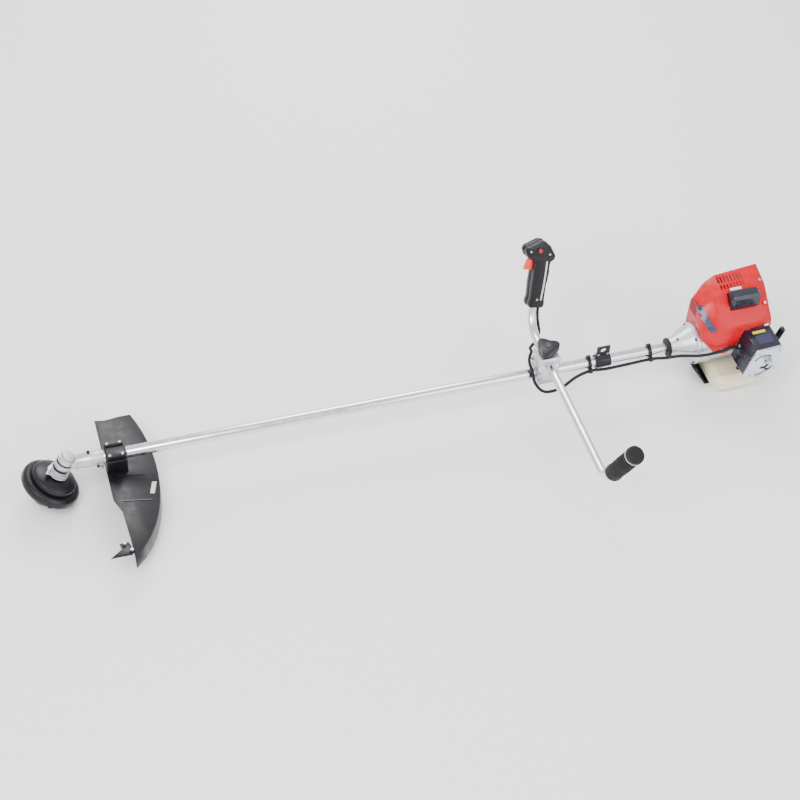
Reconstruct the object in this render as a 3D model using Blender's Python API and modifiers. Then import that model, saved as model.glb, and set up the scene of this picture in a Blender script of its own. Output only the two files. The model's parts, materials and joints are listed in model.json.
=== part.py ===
"""Brush cutter: straight aluminium tube with an angled gear head and line head at the front, a bull-horn
handlebar, and a two-stroke engine with its tank guard at the rear. Metres, +Z up, +X from head to engine,
origin on the ground under the engine, where the tank guard stands."""

import math

import bmesh
import bpy
from mathutils import Matrix, Vector

# ---- driving dimensions (metres) ----
GAP = 0.0003  # between pieces that touch
RUN = 0.0006  # round a piece that turns
SHAFT_Z = 0.118  # drive tube's axis above the ground
TUBE_R = 0.014
TUBE_WALL = 0.0015
SHAFT_R = 0.004
HANDLE_X = -0.480  # handlebar's clamp
GEAR_X = -1.679  # where the gear head's two axes cross
NECK_END_X = -1.585  # rear end of the gear case's neck
TUBE_FRONT_X = -1.606
TUBE_REAR_X = -0.112
HEAD_ANGLE = 30.0  # head axis from the vertical, degrees

BAR_R = 0.011
BAR_WALL = 0.0015
BAR_RISE = 0.0447  # bar's axis above the tube's
BAR_LEFT = 0.404  # clamp to the bend on the operator's left
BAR_RIGHT = 0.121
BEND_R = 0.045
HORN_BACK = 0.188  # grip direction, per unit of length
HORN_OUT = 0.384
GRIP_LENGTH = 0.122
GRIP_R = 0.0205
THROTTLE_START = 0.052  # along the right horn, from the bend's corner
THROTTLE_LENGTH = 0.150

CASE_R = 0.019
NECK_R = 0.0185
HOLDER_R = 0.026
UPPER_HEAD_R = 0.055
LOWER_HEAD_R = 0.072
KNOB_R = 0.028
GEAR_TEETH = 19
PINION_TEETH = 14

GUARD_SLOPE = 12.0  # degrees, falling towards the rear
GUARD_WALL = 0.0028
GUARD_SKIRT = 0.040
GUARD_DROP = 0.035  # plate's front edge below the tube's axis
SADDLE_LENGTH = 0.050
CLAMP_WALL = 0.005

CONE_FRONT_X = -0.147
FLANGE_X = -0.079  # where the clutch housing meets the fan housing
CONE_SMALL_R = 0.022
FLANGE_R = 0.053
DRUM_R = 0.038
FAN_R = 0.044
CASE_BACK_X = 0.060
CASE_BODY_R = 0.038
CYLINDER_X = 0.010
CYLINDER_R = 0.027
BORE_R = 0.022
FIN_HALF = 0.038
BOOT_X = 0.032  # spark plug's cap
BOOT_Y = -0.008
BOOT_TOP = 0.158
CYLINDER_TOP = 0.104  # above the crankshaft
STARTER_R = 0.056
STARTER_LENGTH = 0.043
PULL_Y = -0.045
PULL_HEIGHT = 0.013
TANK_TOP = -0.062  # from the crankshaft
STAND_WALL = 0.004
STAND_HALF_WIDTH = 0.043
CLEANER_INNER_Y = -0.0565
CLEANER_OUTER_Y = -0.128
CABLE_R = 0.0036
TRIGGER_PIVOT = Vector((-0.029, 0, 0.122))  # in the throttle grip's frame
LEVER_PIVOT = Vector((0.021, 0, 0.1245))
SWITCH_AT = Vector((-0.010, -0.0165, 0.150))
CHOKE_AT = (0.076, -0.1405, 0.008)
FUEL_CAP_AT = (0.050, 0.080, -0.0874)
CABLE_BACK = 0.0154  # cable behind the right horn's axis
INTAKE_X = 0.030  # carburettor and its port
INTAKE_Z = 0.052

UP = Vector((0, 0, 1))
ALONG = Vector((1, 0, 0))
ACROSS = Vector((0, 1, 0))
HEAD_AXIS = Vector((-math.sin(math.radians(HEAD_ANGLE)), 0, -math.cos(math.radians(HEAD_ANGLE))))
GEAR_CENTRE = Vector((GEAR_X, 0, SHAFT_Z))
BAR_CENTRE = Vector((HANDLE_X, 0, SHAFT_Z + BAR_RISE))

COLOURS = {  # base colour, roughness, metallic
    "silver": ((0.72, 0.72, 0.74, 1), 0.35, 1.0),
    "tube": ((0.82, 0.82, 0.86, 1), 0.25, 1.0),
    "steel": ((0.5, 0.5, 0.52, 1), 0.35, 1.0),
    "black": ((0.015, 0.015, 0.02, 1), 0.4, 0.0),
    "rubber": ((0.012, 0.012, 0.012, 1), 0.8, 0.0),
    "red": ((0.75, 0.02, 0.03, 1), 0.25, 0.0),
    "orange": ((0.9, 0.09, 0.03, 1), 0.4, 0.0),
    "grey": ((0.35, 0.37, 0.4, 1), 0.45, 0.0),
    "tank": ((0.86, 0.8, 0.62, 1), 0.45, 0.0),
}


def clear_scene():
    for old in list(bpy.data.objects):
        bpy.data.objects.remove(old, do_unlink=True)


def collection(name):
    made = bpy.data.collections.new(name)
    bpy.context.scene.collection.children.link(made)
    return made


clear_scene()
PARTS = collection("brush_cutter")
CUTTERS = collection("cutters")
CUTTERS.hide_render = True


def material(kind, piece):
    colour, rough, metal = COLOURS[kind]
    made = bpy.data.materials.new(piece)
    made.use_nodes = True
    shader = made.node_tree.nodes["Principled BSDF"]
    shader.inputs["Base Color"].default_value = colour
    shader.inputs["Roughness"].default_value = rough
    shader.inputs["Metallic"].default_value = metal
    made.diffuse_color = colour
    return made


# ---- shapes: each returns a mesh object in the cutters' collection until finish() keeps it ----
def put(bm, name="shape"):
    bmesh.ops.recalc_face_normals(bm, faces=bm.faces)
    mesh = bpy.data.meshes.new(name)
    bm.to_mesh(mesh)
    bm.free()
    made = bpy.data.objects.new(name, mesh)
    CUTTERS.objects.link(made)
    made.hide_render = True
    made.display_type = "WIRE"
    return made


def place(made, at, axis=UP, roll=0.0):
    """Moves a shape made about the origin: its Z goes along axis, turned by roll first."""
    turn = UP.rotation_difference(Vector(axis)).to_matrix().to_4x4()
    made.matrix_world = Matrix.Translation(at) @ turn @ Matrix.Rotation(roll, 4, "Z")
    return made


def block(size, at, axis=UP, roll=0.0, edge=0.0):
    bm = bmesh.new()
    bmesh.ops.create_cube(bm, size=1.0)
    bmesh.ops.scale(bm, vec=Vector(size), verts=bm.verts)
    if edge:
        bmesh.ops.bevel(bm, geom=bm.edges[:], offset=edge, segments=1, affect="EDGES")
    return place(put(bm), at, axis, roll)


def rod(start, end, radius, end_radius=None, sides=24):
    """A cylinder or cone from start to end."""
    start, end = Vector(start), Vector(end)
    bm = bmesh.new()
    small = radius if end_radius is None else end_radius
    length = (end - start).length
    bmesh.ops.create_cone(
        bm, cap_ends=True, segments=sides, radius1=radius, radius2=small, depth=length
    )
    return place(put(bm), (start + end) / 2, end - start)


def ball(at, radius, scale=(1, 1, 1), sides=20, rings=12):
    bm = bmesh.new()
    bmesh.ops.create_uvsphere(bm, u_segments=sides, v_segments=rings, radius=radius)
    bmesh.ops.scale(bm, vec=Vector(scale), verts=bm.verts)
    return place(put(bm), at)


def turned(profile, at, axis=UP, sides=28):
    """A solid of revolution from (radius, height) points that run down its outer side, top to bottom."""
    mesh = bpy.data.meshes.new("turned")
    points = [(radius, 0, height) for radius, height in profile]
    mesh.from_pydata(points, [(i, i + 1) for i in range(len(points) - 1)], [])
    guide = bpy.data.objects.new("turned", mesh)
    CUTTERS.objects.link(guide)
    screw = guide.modifiers.new("screw", "SCREW")
    screw.steps = screw.render_steps = sides
    screw.use_merge_vertices = True
    screw.merge_threshold = 0.00005
    screw.use_smooth_shade = False
    return place(as_mesh(guide), at, axis)


def as_mesh(guide):
    """The evaluated shape of a curve or a modified object, welded, in its place."""
    bpy.context.view_layer.update()
    graph = bpy.context.evaluated_depsgraph_get()
    mesh = bpy.data.meshes.new_from_object(guide.evaluated_get(graph))
    world = guide.matrix_world.copy()
    bpy.data.objects.remove(guide, do_unlink=True)
    bm = bmesh.new()
    bm.from_mesh(mesh)
    bmesh.ops.remove_doubles(bm, verts=bm.verts, dist=0.00002)
    made = put(bm)
    made.matrix_world = world
    return made


def sheet_of(outline, thickness, at, axis=UP, roll=0.0, holes=()):
    """A flat outline in its own XY plane, thickness thick, centred on that plane."""
    curve = bpy.data.curves.new("outline", "CURVE")
    curve.dimensions = "2D"
    curve.fill_mode = "BOTH"
    curve.extrude = thickness / 2
    for loop in (outline, *holes):
        spline = curve.splines.new("POLY")
        spline.points.add(len(loop) - 1)
        for point, (x, y) in zip(spline.points, loop):
            point.co = (x, y, 0, 1)
        spline.use_cyclic_u = True
    guide = bpy.data.objects.new("outline", curve)
    CUTTERS.objects.link(guide)
    return place(as_mesh(guide), at, axis, roll)


def pipe(points, radius, resolution=2):
    """A round rod along points."""
    curve = bpy.data.curves.new("pipe", "CURVE")
    curve.dimensions = "3D"
    curve.bevel_depth = radius
    curve.bevel_resolution = resolution
    curve.use_fill_caps = True
    spline = curve.splines.new("POLY")
    spline.points.add(len(points) - 1)
    for point, co in zip(spline.points, points):
        point.co = (*co, 1)
    guide = bpy.data.objects.new("pipe", curve)
    CUTTERS.objects.link(guide)
    return as_mesh(guide)


def combine(base, others, operation):
    for other in others:
        modifier = base.modifiers.new(operation.lower(), "BOOLEAN")
        modifier.operation = operation
        modifier.solver = "EXACT"
        modifier.object = other
    return base


def fuse(base, *others):
    return combine(base, others, "UNION")


def cut(base, *others):
    return combine(base, others, "DIFFERENCE")


def keep(made, name, kind, smooth=True):
    """Makes a shape one of the object's pieces."""
    CUTTERS.objects.unlink(made)
    PARTS.objects.link(made)
    made.name = name
    made.data.name = name
    made.hide_render = False
    made.display_type = "SOLID"
    made.data.materials.clear()
    made.data.materials.append(material(kind, name))
    if smooth:
        made.data.shade_smooth()
        made.data.set_sharp_from_angle(angle=math.radians(35))
    return made


def round_corner(before, corner, after, radius, count):
    """Points on an arc that rounds the corner between two straight runs."""
    arrive = (corner - before).normalized()
    leave = (after - corner).normalized()
    turn = arrive.angle(leave)
    reach = radius * math.tan(turn / 2)
    start = corner - arrive * reach
    inward = (leave - arrive * arrive.dot(leave)).normalized()
    centre = start + inward * radius
    steps = [turn * i / (count - 1) for i in range(count)]
    return [centre - inward * radius * math.cos(a) + arrive * radius * math.sin(a) for a in steps]


def smooth_path(knots, spacing):
    """Evenly spaced points on a smooth curve through the knots."""
    knots = [Vector(k) for k in knots]
    ends = [knots[0] * 2 - knots[1], *knots, knots[-1] * 2 - knots[-2]]
    fine = []
    for a, b, c, d in zip(ends, ends[1:], ends[2:], ends[3:]):
        for i in range(24):
            t = i / 24
            fine.append(
                0.5 * (2 * b + (c - a) * t + (2 * a - 5 * b + 4 * c - d) * t * t + (3 * b - a - 3 * c + d) * t**3)
            )
    fine.append(knots[-1])
    length = sum((q - p).length for p, q in zip(fine, fine[1:]))
    count = max(2, round(length / spacing))
    out, walked, target = [fine[0]], 0.0, length / count
    for p, q in zip(fine, fine[1:]):
        step = (q - p).length
        while walked + step >= target - 1e-9 and len(out) < count:
            out.append(p.lerp(q, (target - walked) / step))
            target += length / count
        walked += step
    out.append(knots[-1])
    return out


# ---- drive tube and what runs inside it ----
def on_head(distance):
    return GEAR_CENTRE + HEAD_AXIS * distance


def at_shaft(x, y=0.0, z=0.0):
    """A point given from the drive tube's axis."""
    return Vector((x, y, SHAFT_Z + z))


def ring(outer, inner, low, high, at, axis, sides=28):
    loop = [(inner, high), (outer, high), (outer, low), (inner, low), (inner, high)]
    return turned(loop, at, axis, sides)


def drive_line():
    length = TUBE_REAR_X - TUBE_FRONT_X
    keep(ring(TUBE_R, TUBE_R - TUBE_WALL, 0, length, at_shaft(TUBE_FRONT_X), ALONG, 32), "drive_tube", "tube")
    keep(rod(at_shaft(GEAR_X + 0.013), at_shaft(FLANGE_X - 0.017), SHAFT_R, sides=16), "drive_shaft", "steel")
    bush_length = 0.024
    for number, x in enumerate((-1.200, -0.620), 1):
        bush = ring(TUBE_R - TUBE_WALL - GAP, SHAFT_R + RUN, 0, bush_length, at_shaft(x), ALONG)
        keep(bush, f"shaft_bush_{number}", "rubber")


# ---- gear head ----
def toothed_cone(apex_distance, depth, angle, teeth, at, axis, bore):
    """A bevel gear: a cone frustum with teeth, its apex at the point where the axes cross."""
    bm = bmesh.new()
    rings = []
    for share in (0, 1):
        reach = apex_distance + depth * share
        loop = []
        for i in range(teeth * 4):
            tooth = 1.07 if i % 4 in (1, 2) else 0.93
            radius = reach * math.tan(angle) * tooth
            turn = 2 * math.pi * i / (teeth * 4)
            loop.append(bm.verts.new((radius * math.cos(turn), radius * math.sin(turn), reach)))
        rings.append(loop)
    count = teeth * 4
    for i in range(count):
        j = (i + 1) % count
        bm.faces.new((rings[0][i], rings[0][j], rings[1][j], rings[1][i]))
    bm.faces.new(rings[0])
    bm.faces.new(rings[1])
    gear = place(put(bm), at, axis)
    axis = Vector(axis).normalized()
    return cut(gear, rod(at, at + axis * 0.05, bore, sides=16))


def gear_head():
    cone_distance, face_width, backlash = 0.0155, 0.0085, math.radians(2.2)
    pinion_angle = math.atan2(
        math.sin(math.radians(90 - HEAD_ANGLE)),
        GEAR_TEETH / PINION_TEETH + math.cos(math.radians(90 - HEAD_ANGLE)),
    )
    gear_angle = math.radians(90 - HEAD_ANGLE) - pinion_angle
    seat = SHAFT_R + GAP
    pinion = toothed_cone(
        cone_distance * math.cos(pinion_angle), face_width, pinion_angle - backlash,
        PINION_TEETH, GEAR_CENTRE, ALONG, seat,
    )
    keep(pinion, "bevel_pinion", "steel")
    out_r = 0.005
    gear = toothed_cone(
        cone_distance * math.cos(gear_angle), face_width, gear_angle - backlash,
        GEAR_TEETH, GEAR_CENTRE, -HEAD_AXIS, out_r + GAP,
    )
    keep(gear, "bevel_gear", "steel")
    keep(rod(on_head(-0.0235), on_head(0.046), out_r, sides=20), "output_shaft", "steel")
    keep(ring(0.0102, out_r + GAP, 0.005, 0.013, GEAR_CENTRE, HEAD_AXIS), "output_bearing", "steel")

    cap_low, case_low, cavity_r = -0.026, 0.020, CASE_R - 0.0027
    case = rod(on_head(cap_low), on_head(case_low), CASE_R, sides=32)
    fuse(
        case,
        rod(at_shaft(GEAR_X + 0.004), at_shaft(GEAR_X + 0.050), NECK_R - 0.005, NECK_R - 0.001, sides=32),
        rod(at_shaft(GEAR_X + 0.049), at_shaft(NECK_END_X), NECK_R, sides=32),
        ball(GEAR_CENTRE, CASE_R + 0.002),
    )
    cut(
        case,
        rod(on_head(cap_low - 0.01), on_head(0.004), cavity_r),
        rod(on_head(0.0), on_head(case_low + 0.01), 0.0102 + GAP),
        rod(GEAR_CENTRE, at_shaft(TUBE_FRONT_X), 0.0125),
        rod(at_shaft(TUBE_FRONT_X - GAP), at_shaft(NECK_END_X + 0.01), TUBE_R + GAP, sides=32),
        block((0.024, 0.002, 0.03), at_shaft(NECK_END_X - 0.009, 0, -0.022)),
    )
    keep(case, "gear_case", "silver")
    cap = turned(
        [(0, 0.0325), (0.0140, 0.0325), (0.0157, 0.0312), (0.0162, -cap_low + GAP), (0, -cap_low + GAP)],
        GEAR_CENTRE, -HEAD_AXIS, 32,
    )
    keep(cap, "gear_case_cap", "silver")

    long_half, short_half, corner = 0.0365, 0.0215, 0.0050
    rhombus = []
    for i in range(32):
        turn = 2 * math.pi * i / 32
        side = abs(math.cos(turn)) / long_half + abs(math.sin(turn)) / short_half
        reach = 1 / side + corner
        rhombus.append((reach * math.cos(turn), reach * math.sin(turn)))
    flange = sheet_of(rhombus, 0.004, on_head(case_low + 0.002 + GAP), HEAD_AXIS, math.radians(-25))
    keep(cut(flange, rod(on_head(0.01), on_head(0.04), 0.0085)), "gear_case_flange", "silver")
    bolt_x = NECK_END_X - 0.006
    bolt_z = -NECK_R - 0.0045
    bolt = fuse(
        rod(at_shaft(bolt_x, -0.011, bolt_z), at_shaft(bolt_x, 0.011, bolt_z), 0.0025, sides=12),
        rod(at_shaft(bolt_x, -0.014, bolt_z), at_shaft(bolt_x, -0.009, bolt_z), 0.0045, sides=6),
    )
    keep(bolt, "gear_clamp_bolt", "black")
    holder_top = case_low + 0.004 + GAP * 2 + RUN
    holder = turned(
        [(out_r + GAP, holder_top), (0.018, holder_top), (HOLDER_R, holder_top + 0.002),
         (HOLDER_R, holder_top + 0.005), (0.014, holder_top + 0.0085), (out_r + GAP, holder_top + 0.0085),
         (out_r + GAP, holder_top)],
        GEAR_CENTRE, HEAD_AXIS, 32,
    )
    keep(holder, "holder_flange", "steel")


# ---- line head ----
def line_head():
    top, joint, bottom = 0.0345, 0.0568, 0.085
    wall, upper, lower, bore = 0.003, UPPER_HEAD_R, LOWER_HEAD_R, 0.0053
    cover = turned(
        [(bore, top), (0.022, top), (upper - 0.008, top + 0.0045), (upper - 0.001, top + 0.0095),
         (upper, top + 0.0155), (upper, joint - GAP), (upper - wall, joint - GAP),
         (upper - wall, top + 0.0125), (upper - 0.010, top + 0.0085), (0.021, top + 0.004),
         (bore, top + 0.004), (bore, top)],
        GEAR_CENTRE, HEAD_AXIS, 36,
    )
    keep(cover, "head_cover", "black")
    hole = KNOB_R + 0.002
    case = turned(
        [(upper - 0.004, joint), (lower - 0.008, joint + 0.0004), (lower - 0.0015, joint + 0.005),
         (lower, joint + 0.011), (lower, bottom - 0.009), (lower - 0.005, bottom - 0.002), (hole, bottom),
         (hole, bottom - wall), (lower - 0.0065, bottom - 0.005), (lower - wall, bottom - 0.010),
         (lower - wall, joint + 0.0115), (lower - 0.0045, joint + 0.0075), (lower - 0.010, joint + 0.0034),
         (upper - 0.004, joint + 0.0034), (upper - 0.004, joint)],
        GEAR_CENTRE, HEAD_AXIS, 40,
    )
    keep(case, "head_case", "black")
    flange, hub, low, high = upper - wall - 0.004, 0.018, 0.0485, 0.0770
    spool = turned(
        [(bore, low), (flange, low), (flange, low + 0.0025), (hub, low + 0.0025), (hub, high - 0.0025),
         (flange, high - 0.0025), (flange, high), (bore, high), (bore, low)],
        GEAR_CENTRE, HEAD_AXIS, 32,
    )
    keep(spool, "line_spool", "orange")
    rim = 0.020
    tip = (SHAFT_Z - rim * math.sin(math.radians(HEAD_ANGLE))) / math.cos(math.radians(HEAD_ANGLE))
    knob_top = bottom - wall
    knob = turned(
        [(0, knob_top), (KNOB_R, knob_top), (KNOB_R, tip - 0.0185), (KNOB_R - 0.002, tip - 0.0075),
         (rim, tip), (rim / 2, tip + 0.0022), (0, tip + 0.0026)],
        GEAR_CENTRE, HEAD_AXIS, 32,
    )
    keep(knob, "bump_knob", "black")


# ---- debris guard ----
def guard_frame():
    """The guard's own axes: X to the rear along the sloping plate, Z up from it."""
    slope = math.radians(GUARD_SLOPE)
    origin = Vector((NECK_END_X + 0.001, 0, SHAFT_Z - GUARD_DROP))
    return Matrix.Translation(origin) @ Matrix.Rotation(slope, 4, "Y")


def guard_arc(y):
    """The rear edge: part of an ellipse round the head's axis."""
    back_reach, side_reach, centre = 0.216, 0.326, -0.094
    return centre + back_reach * math.sqrt(1 - (y / side_reach) ** 2)


def guard():
    frame = guard_frame()
    right_end, left_end, steps = 0.163, -0.281, 16
    rear = [right_end + (left_end - right_end) * i / steps for i in range(steps + 1)]
    arc = [(guard_arc(y), y) for y in rear]
    front = [(0.016, -0.225), (0.014, -0.145), (0.0, -0.110), (0.004, 0.147), (0.028, 0.147), (0.065, 0.158)]
    bm = bmesh.new()
    points = [bm.verts.new((x, y, 0)) for x, y in (*arc, *front)]
    bm.faces.new(points)
    skirt_edges = [bm.edges.get((points[i], points[i + 1])) for i in range(steps)]
    down = bmesh.ops.extrude_edge_only(bm, edges=skirt_edges)
    moved = [v for v in down["geom"] if isinstance(v, bmesh.types.BMVert)]
    for vert in moved:
        fade = min(1.0, (right_end - vert.co.y) / 0.05 + 0.45)
        vert.co += Vector((0.010, 0, -GUARD_SKIRT * fade))
    shell = put(bm)
    if shell.data.polygons[0].normal.z < 0:
        shell.data.flip_normals()
    shell.matrix_world = frame
    skin = shell.modifiers.new("wall", "SOLIDIFY")
    skin.thickness = GUARD_WALL
    skin.offset = 1.0
    skin.use_even_offset = True
    rib_at = frame @ Vector((0.060, 0.0, -0.0045))
    rib = block((0.10, 0.004, 0.012), rib_at, frame.to_3x3() @ UP)
    shell = as_mesh(shell)
    fuse(shell, rib)
    keep(shell, "guard", "black")

    half, height = 0.023, TUBE_R + CLAMP_WALL
    middle = NECK_END_X + 0.004 + SADDLE_LENGTH / 2
    bore = rod(at_shaft(middle - 0.05), at_shaft(middle + 0.05), TUBE_R + GAP, sides=32)
    saddle = block((SADDLE_LENGTH, half * 2, 0.06), at_shaft(middle, 0, -0.030 - GAP), edge=0.002)
    below = block((0.2, 0.2, 0.06), frame @ Vector((0.03, 0, -0.030 + GUARD_WALL + GAP)), frame.to_3x3() @ UP)
    keep(cut(saddle, bore, below), "guard_saddle", "black")
    strap = block((SADDLE_LENGTH, half * 2, height), at_shaft(middle, 0, height / 2 + GAP), edge=0.004)
    lean = math.radians(28)
    window_at = at_shaft(middle, math.sin(lean) * height, math.cos(lean) * height)
    window = block((SADDLE_LENGTH - 0.008, 0.008, 0.02), window_at, (0, math.sin(lean), math.cos(lean)))
    bore = rod(at_shaft(middle - 0.05), at_shaft(middle + 0.05), TUBE_R + GAP, sides=32)
    keep(cut(strap, bore, window), "guard_strap", "black")

    blade = [(-0.052, -0.010), (0.0, -0.020), (0.012, -0.014), (0.012, 0.016), (-0.010, 0.020), (-0.014, 0.004)]
    at = frame @ Vector((0.004, -0.256, -0.0008 - GAP))
    cutter = sheet_of(blade, 0.0016, at, frame.to_3x3() @ UP, math.radians(20))
    keep(cutter, "line_cutter", "steel")


# ---- handlebar, its clamp and grips ----
def horn_direction(side):
    """Along a horn, away from the bend; side is -1 for the operator's left, +1 for the right."""
    rise = math.sqrt(1 - HORN_BACK**2 - HORN_OUT**2)
    return Vector((HORN_BACK, side * HORN_OUT, rise))


def bar_corner(side):
    return BAR_CENTRE + ACROSS * (BAR_RIGHT if side > 0 else -BAR_LEFT)


def bar_points():
    left, right = bar_corner(-1), bar_corner(1)
    left_end = left + horn_direction(-1) * (BEND_R * 0.85 + GRIP_LENGTH - 0.012)
    right_end = right + horn_direction(1) * (THROTTLE_START + THROTTLE_LENGTH * 0.55)
    return [
        left_end,
        *round_corner(left_end, left, right, BEND_R, 8),
        BAR_CENTRE - ACROSS * 0.18,
        BAR_CENTRE,
        *round_corner(left, right, right_end, BEND_R * 1.6, 8),
        right_end,
    ]


def handlebar():
    points = bar_points()
    bar = pipe(points, BAR_R, 3)
    first = (points[0] - points[1]).normalized() * 0.002
    last = (points[-1] - points[-2]).normalized() * 0.002
    inside = pipe([points[0] + first, *points[1:-1], points[-1] + last], BAR_R - BAR_WALL, 3)
    keep(cut(bar, inside), "handlebar", "tube")
    start = bar_corner(-1) + horn_direction(-1) * BEND_R * 0.85
    bore, length = BAR_R + GAP, GRIP_LENGTH
    grip = turned(
        [(0, length + 0.003), (GRIP_R - 0.003, length + 0.003), (GRIP_R + 0.0015, length),
         (GRIP_R + 0.002, length - 0.008),
         (GRIP_R - 0.002, length - 0.016), (GRIP_R, length * 0.5), (GRIP_R - 0.0015, 0.018),
         (GRIP_R + 0.0015, 0.009), (GRIP_R, 0.001), (bore, 0), (bore, length - 0.004), (0, length - 0.004)],
        start, horn_direction(-1), 28,
    )
    keep(grip, "left_grip", "rubber")


def handle_clamp():
    half_long, half_wide, floor = 0.028, 0.027, TUBE_R + CLAMP_WALL
    bar_z = BAR_RISE
    base_size = (half_long * 2, half_wide * 2, bar_z + floor - GAP)
    base = block(base_size, at_shaft(HANDLE_X, 0, (bar_z - floor - GAP) / 2), edge=0.004)
    tube = rod(at_shaft(HANDLE_X - 0.05), at_shaft(HANDLE_X + 0.05), TUBE_R + GAP, sides=32)
    bar = rod(BAR_CENTRE - ACROSS * 0.05, BAR_CENTRE + ACROSS * 0.05, BAR_R + GAP, sides=24)
    waist = [
        block((0.02, half_wide * 2 + 0.02, 0.007), at_shaft(HANDLE_X + side * (half_long + 0.003), 0, 0.022))
        for side in (-1, 1)
    ]
    cut(base, tube, bar, *waist)
    keep(base, "handle_clamp_base", "silver")
    cap_height = BAR_R + 0.011
    cap_size = (half_long * 2, half_wide * 2, cap_height - GAP)
    cap = block(cap_size, at_shaft(HANDLE_X, 0, bar_z + (cap_height + GAP) / 2), edge=0.004)
    bar = rod(BAR_CENTRE - ACROSS * 0.05, BAR_CENTRE + ACROSS * 0.05, BAR_R + GAP, sides=24)
    keep(cut(cap, bar), "handle_clamp_cap", "silver")
    knob_low = bar_z + cap_height + RUN
    lobes = []
    for i in range(48):
        turn = 2 * math.pi * i / 48
        reach = 0.0245 + 0.0055 * math.cos(3 * turn)
        lobes.append((reach * math.cos(turn), reach * math.sin(turn)))
    knob = sheet_of(lobes, 0.016, at_shaft(HANDLE_X, 0, knob_low + 0.016))
    fuse(knob, rod(at_shaft(HANDLE_X, 0, knob_low), at_shaft(HANDLE_X, 0, knob_low + 0.012), 0.014, 0.012))
    keep(knob, "clamp_knob", "black")


# Throttle grip, in its own frame: Z up the right horn, X to the rear, Y to the operator's right
def grip_frame():
    up = horn_direction(1)
    side = (ACROSS - up * ACROSS.dot(up)).normalized()
    rear = side.cross(up)
    axes = Matrix((rear, side, up)).transposed().to_4x4()
    return Matrix.Translation(bar_corner(1) + up * THROTTLE_START) @ axes


def in_frame(made, frame):
    made.matrix_world = frame @ made.matrix_world
    return made


def throttle_grip():
    frame = grip_frame()
    length = THROTTLE_LENGTH
    outline = [
        (0.0205, 0.000), (0.0230, 0.010), (0.0212, 0.024), (0.0215, 0.060), (0.0235, 0.095), (0.0245, 0.118),
        (0.0345, 0.126), (0.0360, 0.136), (0.0200, 0.160), (0.0040, 0.172), (-0.0100, 0.172), (-0.0420, 0.156),
        (-0.0460, 0.146), (-0.0400, 0.132), (-0.0300, 0.126), (-0.0190, 0.124), (-0.0175, 0.092),
        (-0.0185, 0.060), (-0.0165, 0.024), (-0.0200, 0.012), (-0.0180, 0.000),
    ]
    for name, side in (("throttle_grip_left", -1), ("throttle_grip_right", 1)):
        # the outline lies in XZ, and each half spans from the middle plane outwards
        half = sheet_of(outline, 0.0185, (0, 0, 0))
        outwards = Matrix.Translation((0, side * (0.0185 / 2 + GAP / 2), 0))
        half.matrix_world = outwards @ Matrix.Rotation(math.pi / 2, 4, "X")
        edge = half.modifiers.new("weld", "WELD")
        edge.merge_threshold = 0.00005
        half = as_mesh(half)
        round_off = half.modifiers.new("round", "BEVEL")
        round_off.width = 0.0055
        round_off.segments = 2
        round_off.limit_method = "ANGLE"
        round_off.angle_limit = math.radians(60)
        half = as_mesh(half)
        bore = rod((0, 0, -0.01), (0, 0, length * 0.55 + 0.002), BAR_R + GAP, sides=24)
        chamber = block((0.026, 0.022, 0.040), (-0.004, 0, 0.132))
        cable_way = rod((CABLE_BACK, 0, -0.01), (CABLE_BACK, 0, 0.125), CABLE_R + GAP, sides=12)
        front = block((0.036, 0.0105, 0.037), (-0.0235, 0, 0.1105))
        back = block((0.016, 0.0105, 0.078), (0.0260, 0, 0.0900))
        switch_hole = rod((-0.010, -0.03, 0.150), (-0.010, 0.03, 0.150), 0.0055 + RUN, sides=16)
        cut(half, bore, chamber, cable_way, front, back)
        if side < 0:
            cut(half, switch_hole)
        keep(in_frame(as_mesh(half), frame), name, "black")

    trigger = sheet_of(
        [(-0.0160, 0.1235), (-0.0290, 0.1250), (-0.0330, 0.1210), (-0.0400, 0.1000), (-0.0395, 0.0960),
         (-0.0330, 0.0965), (-0.0185, 0.0945), (-0.0155, 0.1050)],
        0.0090, (0, 0, 0),
    )
    trigger.matrix_world = frame @ Matrix.Rotation(math.pi / 2, 4, "X")
    keep(as_mesh(trigger), "throttle_trigger", "orange")
    lever = sheet_of(
        [(0.0195, 0.1265), (0.0230, 0.1270), (0.0275, 0.1180), (0.0310, 0.0900), (0.0290, 0.0620),
         (0.0235, 0.0560), (0.0220, 0.0640), (0.0245, 0.0900), (0.0215, 0.1150)],
        0.0085, (0, 0, 0),
    )
    lever.matrix_world = frame @ Matrix.Rotation(math.pi / 2, 4, "X")
    keep(as_mesh(lever), "safety_lever", "red")
    switch = rod((-0.010, -0.0230, 0.150), (-0.010, -0.0100, 0.150), 0.0055, sides=16)
    keep(in_frame(switch, frame), "stop_switch", "red")


# ---- engine ----
def turned_on_shaft(profile, sides=32):
    """A turned piece on the shaft's axis, from (radius, x) points."""
    return turned(profile, at_shaft(0), ALONG, sides)


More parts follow.
